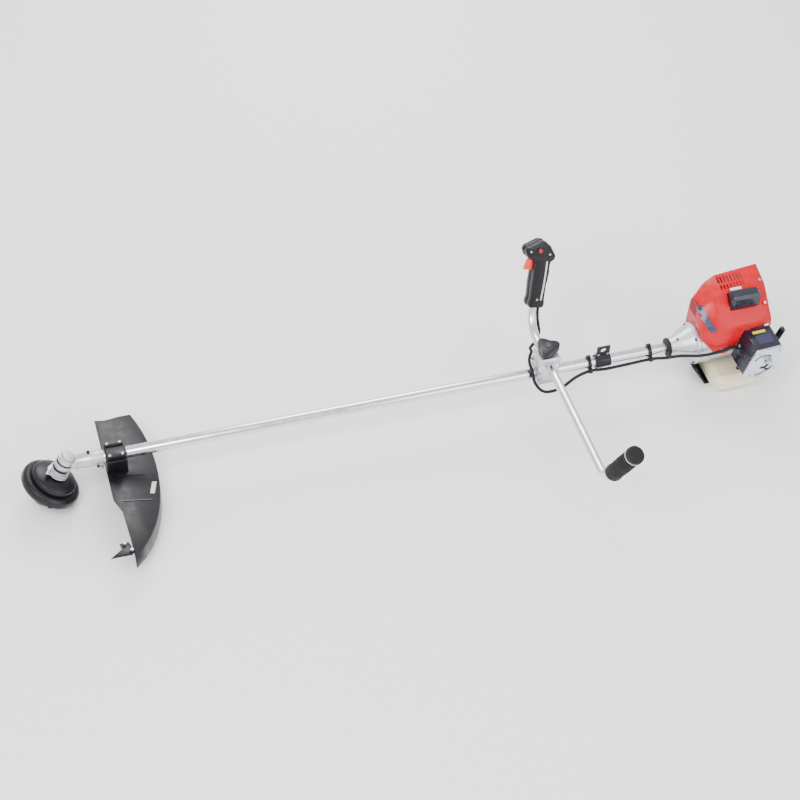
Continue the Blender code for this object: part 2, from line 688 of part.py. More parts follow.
def clutch():
    bore, front, flange = TUBE_R + GAP, CONE_FRONT_X, FLANGE_X
    housing = turned_on_shaft(
        [(bore, front), (CONE_SMALL_R, front), (CONE_SMALL_R + 0.002, front + 0.011),
         (FLANGE_R - 0.007, flange - 0.018), (FLANGE_R - 0.004, flange - 0.011), (FLANGE_R, flange - 0.010),
         (FLANGE_R, flange), (DRUM_R + 0.003, flange), (DRUM_R + 0.0015, flange - 0.021),
         (bore, TUBE_REAR_X + GAP), (bore, front)],
        36,
    )
    keep(housing, "clutch_housing", "silver")
    ring_length = 0.006
    rubber = ring(CONE_SMALL_R + 0.0025, TUBE_R + GAP, 0, ring_length, at_shaft(front - ring_length - GAP), ALONG)
    keep(rubber, "rubber_ring", "rubber")
    hub = SHAFT_R + GAP
    floor = flange - 0.0195
    drum = turned_on_shaft(
        [(hub, floor - 0.008), (0.009, floor - 0.008), (0.009, floor), (DRUM_R, floor), (DRUM_R, flange - 0.001),
         (DRUM_R - 0.0025, flange - 0.001), (DRUM_R - 0.0025, floor + 0.003), (hub, floor + 0.003),
         (hub, floor - 0.008)],
    )
    keep(drum, "clutch_drum", "steel")
    shoe_r, shoe_inner, span = DRUM_R - 0.0045, 0.0125, math.radians(78)
    for number, side in ((1, 1), (2, -1)):
        outer = [(shoe_r * math.cos(a), shoe_r * math.sin(a)) for a in steps_between(-span, span, 10)]
        inner = [(shoe_inner * math.cos(a), shoe_inner * math.sin(a)) for a in steps_between(span, -span, 6)]
        shoe = sheet_of([*outer, *inner], 0.012, at_shaft(flange - 0.0085), ALONG, math.pi / 2 * (1 - side))
        keep(shoe, f"clutch_shoe_{number}", "steel")


def steps_between(first, last, count):
    return [first + (last - first) * i / (count - 1) for i in range(count)]


def flywheel():
    teeth, low = 16, FAN_R - 0.011
    points = []
    for i in range(teeth * 4):
        turn = 2 * math.pi * (i + (0.6 if i % 4 in (1, 2) else 0)) / (teeth * 4)
        reach = FAN_R if i % 4 in (1, 2) else low
        points.append((reach * math.cos(turn), reach * math.sin(turn)))
    wheel = sheet_of(points, 0.015, at_shaft(FLANGE_X + 0.013), ALONG)
    fuse(wheel, rod(at_shaft(FLANGE_X + 0.018), at_shaft(FLANGE_X + 0.0225), FAN_R - 0.001))
    shaft_hole = rod(at_shaft(FLANGE_X - 0.01), at_shaft(FLANGE_X + 0.04), 0.0085 + GAP)
    keep(cut(wheel, shaft_hole), "flywheel", "silver")


def crankcase():
    front, back, step = FLANGE_X + GAP, CASE_BACK_X, FLANGE_X + 0.027
    case = rod(at_shaft(front), at_shaft(step), FLANGE_R, sides=36)
    deck_z = 0.040
    fuse(
        case,
        rod(at_shaft(step - 0.004), at_shaft(back), CASE_BODY_R, sides=32),
        block((0.074, 0.066, 0.020), at_shaft(CYLINDER_X, 0, deck_z - 0.010)),
        block((0.090, 0.050, 0.020), at_shaft(0.004, 0, TANK_TOP + 0.0205)),
    )
    cut(
        case,
        rod(at_shaft(front - 0.01), at_shaft(step - 0.003), FAN_R + 0.003),
        rod(at_shaft(CYLINDER_X - 0.021), at_shaft(CYLINDER_X + 0.021), 0.0310),
        rod(at_shaft(step - 0.01), at_shaft(back + 0.01), 0.0085 + RUN, sides=20),
        rod(at_shaft(CYLINDER_X, 0, 0.01), at_shaft(CYLINDER_X, 0, deck_z + 0.01), BORE_R),
    )
    keep(case, "crankcase", "silver")

    web_r, pin_at, journal = 0.0285, 0.017, 0.0085
    shaft = rod(at_shaft(FLANGE_X - 0.0150), at_shaft(CYLINDER_X - 0.012), journal, sides=20)
    fuse(
        shaft,
        rod(at_shaft(CYLINDER_X - 0.019), at_shaft(CYLINDER_X - 0.007), web_r),
        rod(at_shaft(CYLINDER_X - 0.009, 0, pin_at), at_shaft(CYLINDER_X + 0.009, 0, pin_at), 0.006, sides=16),
        rod(at_shaft(CYLINDER_X + 0.007), at_shaft(CYLINDER_X + 0.019), web_r),
        rod(at_shaft(CYLINDER_X + 0.012), at_shaft(CASE_BACK_X + 0.020), journal, sides=20),
    )
    keep(shaft, "crankshaft", "steel")

    bottom, top = deck_z + GAP, CYLINDER_TOP
    barrel = rod(at_shaft(CYLINDER_X, 0, bottom), at_shaft(CYLINDER_X, 0, top), CYLINDER_R, sides=28)
    fins = [
        block((FIN_HALF * 2, FIN_HALF * 1.8, 0.0028), at_shaft(CYLINDER_X, 0, bottom + 0.010 + 0.0105 * i))
        for i in range(5)
    ]
    port_z = INTAKE_Z
    fuse(
        barrel,
        block((FIN_HALF * 1.8, FIN_HALF * 1.7, 0.004), at_shaft(CYLINDER_X, 0, bottom + 0.002)),
        *fins,
        block((0.038, 0.03, 0.022), at_shaft(INTAKE_X - 0.006, -0.034, port_z)),
        block((0.038, 0.03, 0.022), at_shaft(CYLINDER_X, 0.0315, port_z)),
    )
    cut(
        barrel,
        rod(at_shaft(CYLINDER_X, 0, 0.02), at_shaft(CYLINDER_X, 0, top - 0.010), BORE_R),
        rod(at_shaft(CYLINDER_X, 0, top - 0.02), at_shaft(CYLINDER_X, 0, top + 0.01), 0.0069, sides=16),
        rod(at_shaft(INTAKE_X, -0.06, port_z), at_shaft(CYLINDER_X + 0.004, 0, port_z), 0.007, sides=16),
        rod(at_shaft(CYLINDER_X, 0, port_z), at_shaft(CYLINDER_X, 0.06, port_z), 0.009, sides=16),
    )
    keep(barrel, "cylinder", "silver")
    crown = CYLINDER_TOP - 0.014
    keep(
        rod(at_shaft(CYLINDER_X, 0, crown - 0.028), at_shaft(CYLINDER_X, 0, crown), BORE_R - GAP),
        "piston", "silver",
    )
    plug = rod(at_shaft(CYLINDER_X, 0, top - 0.009), at_shaft(CYLINDER_X, 0, top + 0.001), 0.0066, sides=16)
    fuse(
        plug,
        rod(at_shaft(CYLINDER_X, 0, top + GAP), at_shaft(CYLINDER_X, 0, top + 0.010), 0.0095, sides=6),
        rod(at_shaft(CYLINDER_X, 0, top + 0.009), at_shaft(CYLINDER_X, 0, top + 0.031), 0.0048, 0.004, sides=16),
    )
    keep(plug, "spark_plug", "steel")
    cap_z = top + 0.0355
    boot_low = top + 0.0115
    boot = block((0.078, 0.036, BOOT_TOP - boot_low), at_shaft(BOOT_X, BOOT_Y, (BOOT_TOP + boot_low) / 2), edge=0.007)
    fuse(boot, rod(at_shaft(CYLINDER_X, 0, top + 0.0135), at_shaft(CYLINDER_X, 0, cap_z), 0.0105, sides=20))
    cut(boot, rod(at_shaft(CYLINDER_X, 0, top + 0.005), at_shaft(CYLINDER_X, 0, top + 0.034), 0.0055, sides=16))
    keep(boot, "plug_cap", "black")


# Engine hood: outer sections (y, z from the crankshaft), bottom left round over the top to bottom right
HOOD_SECTIONS = (
    (-0.0795, (-0.034, 0.036), (-0.040, 0.048), (-0.030, 0.080), (0.004, 0.110), (0.045, 0.117), (0.055, 0.098),
     (0.058, 0.050), (0.058, -0.005)),
    (-0.0450, (-0.058, 0.006), (-0.058, 0.040), (-0.046, 0.086), (0.006, 0.134), (0.066, 0.142), (0.080, 0.118),
     (0.088, 0.050), (0.088, -0.022)),
    (-0.0180, (-0.060, 0.004), (-0.060, 0.060), (-0.054, 0.090), (0.010, 0.143), (0.074, 0.151), (0.089, 0.124),
     (0.096, 0.050), (0.096, -0.030)),
    (0.0400, (-0.058, 0.060), (-0.057, 0.076), (-0.053, 0.091), (0.014, 0.145), (0.077, 0.155), (0.091, 0.128),
     (0.097, 0.050), (0.097, -0.020)),
    (0.0980, (-0.052, 0.068), (-0.051, 0.080), (-0.047, 0.090), (0.020, 0.146), (0.079, 0.160), (0.091, 0.132),
     (0.095, 0.060), (0.095, 0.005)),
)
HOOD_WALL = 0.0025


def hood():
    bm = bmesh.new()
    loops = [[bm.verts.new((x, y, SHAFT_Z + z)) for y, z in section] for x, *section in HOOD_SECTIONS]
    for fore, aft in zip(loops, loops[1:]):
        for i in range(len(fore) - 1):
            bm.faces.new((fore[i], fore[i + 1], aft[i + 1], aft[i]))
    bm.faces.new(loops[0])
    shell = put(bm)
    up_face = max(shell.data.polygons, key=lambda face: face.center.z)
    if up_face.normal.z < 0:
        shell.data.flip_normals()
    skin = shell.modifiers.new("wall", "SOLIDIFY")
    skin.thickness = HOOD_WALL
    skin.offset = -1.0
    skin.use_even_offset = True
    shell = as_mesh(shell)
    slots = [
        block((0.0042, length, 0.03), at_shaft(-0.014 + 0.0085 * i, y, 0.150))
        for y, length in ((0.0555, 0.019), (0.0325, 0.014))
        for i in range(8)
    ]
    cut(
        shell,
        rod(at_shaft(FLANGE_X - 0.01), at_shaft(FLANGE_X + 0.030), FLANGE_R + 0.0012, sides=36),
        block((0.0804, 0.0384, 0.05), at_shaft(BOOT_X, BOOT_Y, 0.140)),
        across_sheet(shrunk(CLEANER_OUTLINE, -0.0015), CLEANER_OUTER_Y, CLEANER_INNER_Y + 0.0092),
        *slots,
    )
    keep(shell, "engine_hood", "red", smooth=False)


def muffler():
    box = block((0.072, 0.036, 0.064), at_shaft(CYLINDER_X + 0.002, 0.0655, 0.055), edge=0.009)
    y, z, x = 0.068, 0.032, CYLINDER_X + 0.020
    fuse(box, rod(at_shaft(x, y, z), at_shaft(x + 0.035, y, z), 0.008, sides=16))
    cut(box, rod(at_shaft(x + 0.010, y, z), at_shaft(x + 0.050, y, z), 0.006, sides=16))
    keep(box, "muffler", "steel")


CLEANER_OUTLINE = ((0.024, 0.071), (0.092, 0.075), (0.090, -0.002), (0.041, -0.026), (0.000, -0.008))


def shrunk(outline, amount):
    """The outline moved in by amount on every side."""
    out = []
    for before, here, after in zip((outline[-1], *outline[:-1]), outline, (*outline[1:], outline[0])):
        a = (Vector(here) - Vector(before)).normalized()
        b = (Vector(after) - Vector(here)).normalized()
        bisector = (b - a).normalized()
        out.append(tuple(Vector(here) + bisector * amount / math.sin(a.angle(-b) / 2)))
    return out


def across_sheet(outline, low_y, high_y):
    """An outline in X and height above the crankshaft, from low_y to high_y."""
    made = sheet_of(outline, high_y - low_y, (0, 0, 0))
    upright = Matrix.Rotation(math.pi / 2, 4, "X")
    made.matrix_world = Matrix.Translation(at_shaft(0, (low_y + high_y) / 2)) @ upright
    return made


def air_cleaner():
    wall = 0.0025
    cover = across_sheet(CLEANER_OUTLINE, CLEANER_OUTER_Y, CLEANER_INNER_Y)
    inside = across_sheet(shrunk(CLEANER_OUTLINE, wall), CLEANER_OUTER_Y - 0.01, CLEANER_INNER_Y + 0.01)
    cable_hole = rod(at_shaft(-0.02, -0.068, 0.030), at_shaft(0.03, -0.068, 0.030), CABLE_R + RUN, sides=12)
    keep(cut(cover, inside, cable_hole), "air_cleaner_cover", "black")
    plate = across_sheet(CLEANER_OUTLINE, CLEANER_OUTER_Y - 0.009, CLEANER_OUTER_Y - GAP)
    slots = [
        block((0.022, 0.02, 0.005), at_shaft(0.056 + 0.003 * i, CLEANER_OUTER_Y - 0.005, 0.048 - 0.011 * i))
        for i in range(3)
    ]
    cut(plate, *slots, rod(at_shaft(0.076, -0.15, 0.008), at_shaft(0.076, -0.12, 0.008), 0.0030 + RUN, sides=16))
    keep(plate, "air_cleaner_plate", "silver")
    base = across_sheet(shrunk(CLEANER_OUTLINE, wall + 0.0006), -0.0905, -0.0865)
    cut(base, rod(at_shaft(INTAKE_X, -0.10, INTAKE_Z), at_shaft(INTAKE_X, -0.08, INTAKE_Z), 0.009))
    keep(base, "air_cleaner_base", "black")
    carburettor = block((0.032, 0.034, 0.032), at_shaft(INTAKE_X + 0.011, -0.0672, INTAKE_Z - 0.002), edge=0.003)
    bowl = rod(at_shaft(INTAKE_X, -0.0672, 0.040), at_shaft(INTAKE_X, -0.0672, 0.024), 0.009, sides=16)
    throat = rod(at_shaft(INTAKE_X, -0.10, INTAKE_Z), at_shaft(INTAKE_X, -0.04, INTAKE_Z), 0.007, sides=16)
    cut(fuse(carburettor, bowl), throat)
    keep(carburettor, "carburettor", "silver")
    lever_y = CLEANER_OUTER_Y - 0.0125
    lever = rod(at_shaft(0.076, -0.128, 0.008), at_shaft(0.076, lever_y - 0.0015, 0.008), 0.0030, sides=16)
    bar = block((0.046, 0.003, 0.008), (0, 0, 0), edge=0.001)
    tilt = Matrix.Rotation(math.radians(-33), 4, "Y")
    bar.matrix_world = Matrix.Translation(at_shaft(0.0565, lever_y, -0.0045)) @ tilt
    knob_at = at_shaft(0.039, lever_y - 0.007, -0.016)
    knob = rod(knob_at, knob_at + ACROSS * 0.0085, 0.0065, sides=20)
    fuse(lever, bar, knob)
    keep(lever, "choke_lever", "grey")


def recoil_starter():
    front, length, radius = CASE_BACK_X + GAP, STARTER_LENGTH, STARTER_R
    cover = turned_on_shaft(
        [(0, front + length), (radius - 0.016, front + length), (radius - 0.003, front + length - 0.007),
         (radius, front + length - 0.014), (radius, front), (radius - 0.003, front),
         (radius - 0.003, front + length - 0.015), (radius - 0.017, front + length - 0.003),
         (0, front + length - 0.003)],
    )
    inner = at_shaft(front + 0.022, PULL_Y, PULL_HEIGHT)
    mouth = at_shaft(front + length + 0.002, PULL_Y, PULL_HEIGHT)
    fuse(cover, rod(inner, mouth, 0.0095, sides=20))
    cut(cover, rod(inner - ALONG * 0.01, mouth + ALONG * 0.01, 0.0035, sides=12))
    keep(cover, "starter_housing", "black")
    stem_x = front + length + 0.003
    stem = at_shaft(stem_x, PULL_Y, PULL_HEIGHT)
    grip = rod(stem, stem + ALONG * 0.022, 0.007, sides=16)
    lean = math.radians(20)
    bar = block((0.015, 0.020, 0.062), (0, 0, 0), edge=0.006)
    bar_at = Matrix.Translation(at_shaft(stem_x + 0.026, PULL_Y, PULL_HEIGHT))
    bar.matrix_world = bar_at @ Matrix.Rotation(lean, 4, "Y")
    keep(fuse(grip, bar), "starter_handle", "black")


def fuel_tank():
    tank_low = -SHAFT_Z + STAND_WALL + 0.0012
    height = TANK_TOP - tank_low
    middle = (TANK_TOP + tank_low) / 2
    tank = block((0.124, 0.164, height), at_shaft(0.020, -0.008, middle), edge=0.014)
    neck_y = 0.074
    fuse(tank, rod(at_shaft(0.050, neck_y - 0.02, middle), at_shaft(0.050, neck_y + 0.006, middle), 0.0150))
    keep(tank, "fuel_tank", "tank")
    cap = turned(
        [(0, 0.014), (0.016, 0.014), (0.0185, 0.012), (0.0185, 0.0006), (0.0155, 0.0006), (0.0155, 0.0003),
         (0, 0.0003)],
        at_shaft(0.050, neck_y + 0.006, middle), ACROSS, 24,
    )
    keep(cap, "fuel_cap", "black")
    low, floor = -SHAFT_Z, -SHAFT_Z + STAND_WALL
    top = TANK_TOP + 0.0085
    profile = [
        (-0.0460, low), (0.0860, low), (0.0920, low + 0.006), (0.0960, top - 0.004), (0.0915, top - 0.004),
        (0.0870, low + 0.010), (0.0840, floor), (-0.0440, floor), (-0.0800, top), (-0.0870, top),
    ]
    stand = across_sheet(profile, -STAND_HALF_WIDTH, STAND_HALF_WIDTH)
    bridge = block((0.020, 0.040, 0.005), at_shaft(-0.0735, 0, top - 0.0025))
    fuse(stand, bridge)
    slot = [block((0.060, 0.010, 0.02), at_shaft(0.02, y, low)) for y in (-0.022, 0.022)]
    keep(cut(stand, *slot), "tank_guard", "black")


# ---- fittings along the tube ----
def fittings():
    for number, x in ((1, -0.364), (2, -0.202)):
        band = ring(TUBE_R + 0.0025, TUBE_R + GAP, 0, 0.008, at_shaft(x - 0.004), ALONG)
        lug_y, lug_z = -0.0205, -0.0085
        lug = rod(at_shaft(x - 0.004, lug_y, lug_z), at_shaft(x + 0.004, lug_y, lug_z), CABLE_R + 0.0035, sides=20)
        fuse(band, lug)
        cut(
            band,
            rod(at_shaft(x - 0.01, lug_y, lug_z), at_shaft(x + 0.01, lug_y, lug_z), CABLE_R + RUN, sides=16),
            rod(at_shaft(x - 0.01), at_shaft(x + 0.01), TUBE_R + GAP, sides=28),
        )
        keep(band, f"cable_clip_{number}", "black")
    x, length = -0.328, 0.040
    band = ring(TUBE_R + 0.0035, TUBE_R + GAP, 0, length, at_shaft(x - length / 2), ALONG)
    plate = block((length - 0.006, 0.005, 0.036), at_shaft(x, 0, 0.030))
    fuse(band, plate, block((length - 0.006, 0.014, 0.008), at_shaft(x, 0, 0.0185)))
    eye = rod(at_shaft(x, -0.02, 0.036), at_shaft(x, 0.02, 0.036), 0.0075, sides=20)
    bore = rod(at_shaft(x - 0.05), at_shaft(x + 0.05), TUBE_R + GAP, sides=28)
    keep(cut(band, eye, bore), "hanger", "black")


CABLE_SPLIT = at_shaft(-0.500, 0.048, 0.028)  # between the part on the handlebar and the part on the tube


def cables():
    frame = grip_frame()
    along_grip = [frame @ Vector((CABLE_BACK, 0, z)) for z in (0.118, 0.080, 0.040, 0.010, -0.012)]
    upper = [*along_grip, frame @ Vector((0.0175, -0.002, -0.034)), at_shaft(-0.4640, 0.096, 0.034),
             at_shaft(-0.485, 0.074, 0.026), at_shaft(-0.4995, 0.060, 0.028), CABLE_SPLIT + ACROSS * 0.004]
    points = [*smooth_path(upper, 0.010), CABLE_SPLIT]
    keep(pipe(points, CABLE_R, 2), "throttle_cable_upper", "rubber")
    join = CABLE_SPLIT - ACROSS * GAP
    lower = [
        join - ACROSS * 0.004, at_shaft(-0.5110, 0.031, 0.029), at_shaft(-0.5180, 0.012, 0.027),
        at_shaft(-0.5180, -0.010, 0.020),
        at_shaft(-0.5140, -0.0285, -0.006), at_shaft(-0.492, -0.042, -0.028), at_shaft(-0.450, -0.040, -0.029),
        at_shaft(-0.402, -0.0245, -0.016), at_shaft(-0.364, -0.0205, -0.0085), at_shaft(-0.328, -0.0235, -0.0085),
        at_shaft(-0.280, -0.0225, -0.0090), at_shaft(-0.202, -0.0205, -0.0085), at_shaft(-0.165, -0.0300, -0.004),
        at_shaft(-0.130, -0.0420, 0.006), at_shaft(-0.090, -0.0600, 0.014), at_shaft(-0.050, -0.0680, 0.022),
        at_shaft(-0.012, -0.0680, 0.030), at_shaft(0.0040, -0.0680, 0.030),
    ]
    keep(pipe([join, *smooth_path(lower, 0.012)], CABLE_R, 2), "throttle_cable_lower", "rubber")


def pivot(name, at, axis, *pieces):
    """An empty on a joint, its Z along the axis, that carries the pieces that move on it."""
    turn = UP.rotation_difference(Vector(axis)).to_matrix().to_4x4()
    made = bpy.data.objects.new(name, None)
    made.empty_display_size = 0.03
    made.matrix_world = Matrix.Translation(at) @ turn
    PARTS.objects.link(made)
    bpy.context.view_layer.update()
    for piece in pieces:
        child = bpy.data.objects[piece]
        child.parent = made
        child.matrix_parent_inverse = made.matrix_world.inverted()


def joints():
    grip, lean = grip_frame(), grip_frame().to_3x3()
    pivot("head_axis", GEAR_CENTRE, HEAD_AXIS, "bevel_gear", "output_shaft", "holder_flange", "head_cover",
          "head_case", "line_spool", "bump_knob")
    pivot("drive_axis", at_shaft(-0.9), ALONG, "drive_shaft", "bevel_pinion", "clutch_drum")
    pivot("crank_axis", at_shaft(0), ALONG, "crankshaft", "flywheel", "clutch_shoe_1", "clutch_shoe_2")
    pivot("bar_axis", BAR_CENTRE, ACROSS, "handlebar", "left_grip", "throttle_grip_left", "throttle_grip_right",
          "throttle_cable_upper")
    pivot("trigger_axis", grip @ TRIGGER_PIVOT, lean @ ACROSS, "throttle_trigger")
    pivot("lever_axis", grip @ LEVER_PIVOT, lean @ ACROSS, "safety_lever")
    pivot("switch_axis", grip @ SWITCH_AT, lean @ ACROSS, "stop_switch")
    pivot("knob_axis", BAR_CENTRE, UP, "clamp_knob")
    pivot("choke_axis", at_shaft(*CHOKE_AT), ACROSS, "choke_lever")
    pivot("starter_axis", at_shaft(CASE_BACK_X + STARTER_LENGTH, PULL_Y, PULL_HEIGHT), ALONG, "starter_handle")
    pivot("fuel_cap_axis", at_shaft(*FUEL_CAP_AT), ACROSS, "fuel_cap")


def brush_cutter():
    drive_line()
    gear_head()
    line_head()
    guard()
    handlebar()
    handle_clamp()
    throttle_grip()
    clutch()
    flywheel()
    crankcase()
    hood()
    muffler()
    air_cleaner()
    recoil_starter()
    fuel_tank()
    fittings()
    cables()
    joints()


brush_cutter()
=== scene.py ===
"""Looks of the brush cutter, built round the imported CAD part."""

import json
import math

import bmesh
import bpy
from mathutils import Matrix, Vector
from mathutils.bvhtree import BVHTree


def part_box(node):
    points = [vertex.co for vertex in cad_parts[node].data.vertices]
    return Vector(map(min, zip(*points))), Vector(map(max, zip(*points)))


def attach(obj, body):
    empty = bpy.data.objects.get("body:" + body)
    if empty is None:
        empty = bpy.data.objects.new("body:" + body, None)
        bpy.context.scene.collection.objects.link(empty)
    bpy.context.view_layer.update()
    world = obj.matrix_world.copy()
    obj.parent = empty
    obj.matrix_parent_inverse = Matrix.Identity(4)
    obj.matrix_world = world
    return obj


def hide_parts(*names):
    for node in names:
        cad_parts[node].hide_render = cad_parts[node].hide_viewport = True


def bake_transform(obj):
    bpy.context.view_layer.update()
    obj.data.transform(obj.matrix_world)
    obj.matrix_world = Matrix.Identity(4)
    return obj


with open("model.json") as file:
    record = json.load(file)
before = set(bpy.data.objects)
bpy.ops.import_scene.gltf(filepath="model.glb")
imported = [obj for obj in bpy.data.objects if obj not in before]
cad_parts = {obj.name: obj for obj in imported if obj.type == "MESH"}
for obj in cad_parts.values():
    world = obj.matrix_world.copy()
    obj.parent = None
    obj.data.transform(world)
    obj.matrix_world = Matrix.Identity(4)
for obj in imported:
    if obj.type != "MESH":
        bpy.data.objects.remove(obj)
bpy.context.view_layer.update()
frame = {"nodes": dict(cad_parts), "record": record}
NODES = frame["nodes"]

# Sizes, in metres
SHAFT_Z = 0.118
HEAD_ANGLE = 30.0
GEAR_CENTRE = Vector((-1.679, 0, SHAFT_Z))
BAR_CENTRE = Vector((-0.480, 0, 0.1627))
HORN_RIGHT = Vector((0.188, 0.384, 0.904)).normalized()
HORN_LEFT = Vector((0.188, -0.384, 0.904)).normalized()
CABLE_R = 0.0040
HORN_OFFSET_RIGHT = 0.121  # clamp to the bend on the right
HORN_OFFSET_LEFT = 0.404
GRIP_RISE = 0.052  # bend to the throttle grip, up the horn
LEFT_GRIP_RISE = 0.03825
CONE_SCREW_X = -0.0888
CONE_SCREW_RADIUS = 0.0478
BAND_R = 0.0193  # knurled band on the gear head
SMALL_EDGE = 0.0005
EDGE_ANGLE = math.radians(32)
WELD = 0.00003
UP = Vector((0, 0, 1))
ALONG = Vector((1, 0, 0))
ACROSS = Vector((0, 1, 0))
HEAD_AXIS = Vector((-math.sin(math.radians(HEAD_ANGLE)), 0, -math.cos(math.radians(HEAD_ANGLE))))


# ---- materials ----
def surface(name, base, rough, metal=0.0, coat=0.0, grain=900.0, bump=0.06, streak=(1, 1, 1),
            dust=0.05, worn=None, clear=0.0, shine=0.5):
    """A painted, cast, moulded or drawn surface with fine grain, uneven gloss, dust and worn edges."""
    made = bpy.data.materials.new(name)
    made.use_nodes = True
    tree = made.node_tree
    nodes, links = tree.nodes, tree.links
    shader = nodes["Principled BSDF"]
    shader.inputs["Metallic"].default_value = metal
    shader.inputs["Coat Weight"].default_value = coat
    shader.inputs["Coat Roughness"].default_value = 0.12
    shader.inputs["Specular IOR Level"].default_value = shine
    if clear:
        shader.inputs["Subsurface Weight"].default_value = clear
        shader.inputs["Subsurface Radius"].default_value = (0.02, 0.015, 0.008)
        shader.inputs["Subsurface Scale"].default_value = 0.5
    where = nodes.new("ShaderNodeTexCoord")
    stretch = nodes.new("ShaderNodeMapping")
    stretch.inputs["Scale"].default_value = streak
    links.new(where.outputs["Object"], stretch.inputs["Vector"])

    def noise(scale, detail, source):
        made_noise = nodes.new("ShaderNodeTexNoise")
        made_noise.inputs["Scale"].default_value = scale
        made_noise.inputs["Detail"].default_value = detail
        links.new(source, made_noise.inputs["Vector"])
        return made_noise.outputs["Fac"]

    def ramp(source, low, high, start, end):
        made_ramp = nodes.new("ShaderNodeMapRange")
        made_ramp.inputs["From Min"].default_value = low
        made_ramp.inputs["From Max"].default_value = high
        made_ramp.inputs["To Min"].default_value = start
        made_ramp.inputs["To Max"].default_value = end
        links.new(source, made_ramp.inputs["Value"])
        return made_ramp.outputs["Result"]

    def mix(factor, first, second):
        made_mix = nodes.new("ShaderNodeMix")
        made_mix.data_type = "RGBA"
        links.new(factor, made_mix.inputs["Factor"])
        for socket, value in ((made_mix.inputs["A"], first), (made_mix.inputs["B"], second)):
            if isinstance(value, tuple):
                socket.default_value = (*value, 1)
            else:
                links.new(value, socket)
        return made_mix.outputs["Result"]

    fine = noise(grain, 4, stretch.outputs["Vector"])
    broad = noise(14, 5, where.outputs["Object"])
    patches = noise(55, 6, where.outputs["Object"])
    darker = tuple(c * 0.88 for c in base)
    lighter = tuple(min(1, c * 1.05 + 0.0004) for c in base)
    colour = mix(ramp(fine, 0.3, 0.7, 0, 1), darker, lighter)
    colour = mix(ramp(broad, 0.4, 0.75, 0, dust), colour, (0.42, 0.38, 0.31))
    if worn:
        shape = nodes.new("ShaderNodeNewGeometry")
        edge = ramp(shape.outputs["Pointiness"], 0.56, 0.66, 0, 0.55)
        broken = nodes.new("ShaderNodeMath")
        broken.operation = "MULTIPLY"
        links.new(edge, broken.inputs[0])
        links.new(ramp(patches, 0.45, 0.6, 0, 1), broken.inputs[1])
        colour = mix(broken.outputs["Value"], colour, worn)
    links.new(colour, shader.inputs["Base Color"])
    gloss = ramp(patches, 0.3, 0.75, max(0.05, rough - 0.07), min(1, rough + 0.1))
    links.new(gloss, shader.inputs["Roughness"])
    relief = nodes.new("ShaderNodeBump")
    relief.inputs["Strength"].default_value = bump
    relief.inputs["Distance"].default_value = 0.0006
    links.new(fine, relief.inputs["Height"])
    links.new(relief.outputs["Normal"], shader.inputs["Normal"])
    return made


DRAWN = (0.06, 1, 1)
LOOKS = {
    "tube": surface("anodised tube", (0.80, 0.80, 0.84), 0.24, 1.0, grain=1400, bump=0.05, streak=DRAWN,
                    dust=0.03),
    "cast": surface("cast aluminium", (0.66, 0.67, 0.70), 0.42, 1.0, grain=1100, bump=0.25, dust=0.10),
    "plate": surface("pressed aluminium", (0.70, 0.76, 0.80), 0.30, 0.9, grain=700, bump=0.06, dust=0.05),
    "steel": surface("machined steel", (0.50, 0.51, 0.54), 0.30, 1.0, grain=1300, bump=0.12, dust=0.04),
    "burnt": surface("heat-darkened steel", (0.10, 0.085, 0.075), 0.5, 0.85, grain=500, bump=0.2, dust=0.2),
    "black": surface("moulded black", (0.0045, 0.0045, 0.0065), 0.34, grain=1500, bump=0.14, dust=0.006,
                     worn=(0.035, 0.035, 0.04), shine=0.35),
    # the blue tint of this black is a painted sheen, a reflection painted into the colour; its lighter edges
    # are wear carrying the same painted blue sheen
    "blue_sheen_black": surface("black with a painted blue sheen", (0.008, 0.010, 0.022), 0.28, coat=0.2, grain=1200, bump=0.07,
                     dust=0.006, worn=(0.04, 0.045, 0.07), shine=0.4),
    "rubber": surface("rubber", (0.006, 0.006, 0.007), 0.58, grain=900, bump=0.25, dust=0.01, shine=0.3),
    "red": surface("glossy red", (0.56, 0.001, 0.008), 0.30, coat=0.12, grain=900, bump=0.012, dust=0.0,
                   worn=(0.62, 0.01, 0.02), shine=0.22),
    "orange": surface("orange trigger", (0.90, 0.055, 0.020), 0.32, coat=0.3, grain=900, bump=0.05,
                      dust=0.02),
    "grey": surface("grey plastic", (0.62, 0.62, 0.58), 0.42, grain=900, bump=0.08, dust=0.06),
    "tank": surface("cream tank", (0.88, 0.80, 0.58), 0.36, coat=0.15, grain=500, bump=0.05, dust=0.04,
                    clear=0.35),
    "navy": surface("navy plate", (0.010, 0.012, 0.060), 0.22, coat=0.6, grain=700, bump=0.02, dust=0.01),
    "label": surface("white label", (0.85, 0.85, 0.84), 0.35, grain=700, bump=0.02, dust=0.03),
    "yellow": surface("yellow label", (0.88, 0.62, 0.03), 0.35, grain=700, bump=0.02, dust=0.03),
    # painted shade: near-black steel colour that stands for the shade inside vents, slots and knurling
    "painted_shade": surface("shadowed steel", (0.020, 0.020, 0.023), 0.5, 0.6, grain=900, bump=0.2, dust=0.04),
}
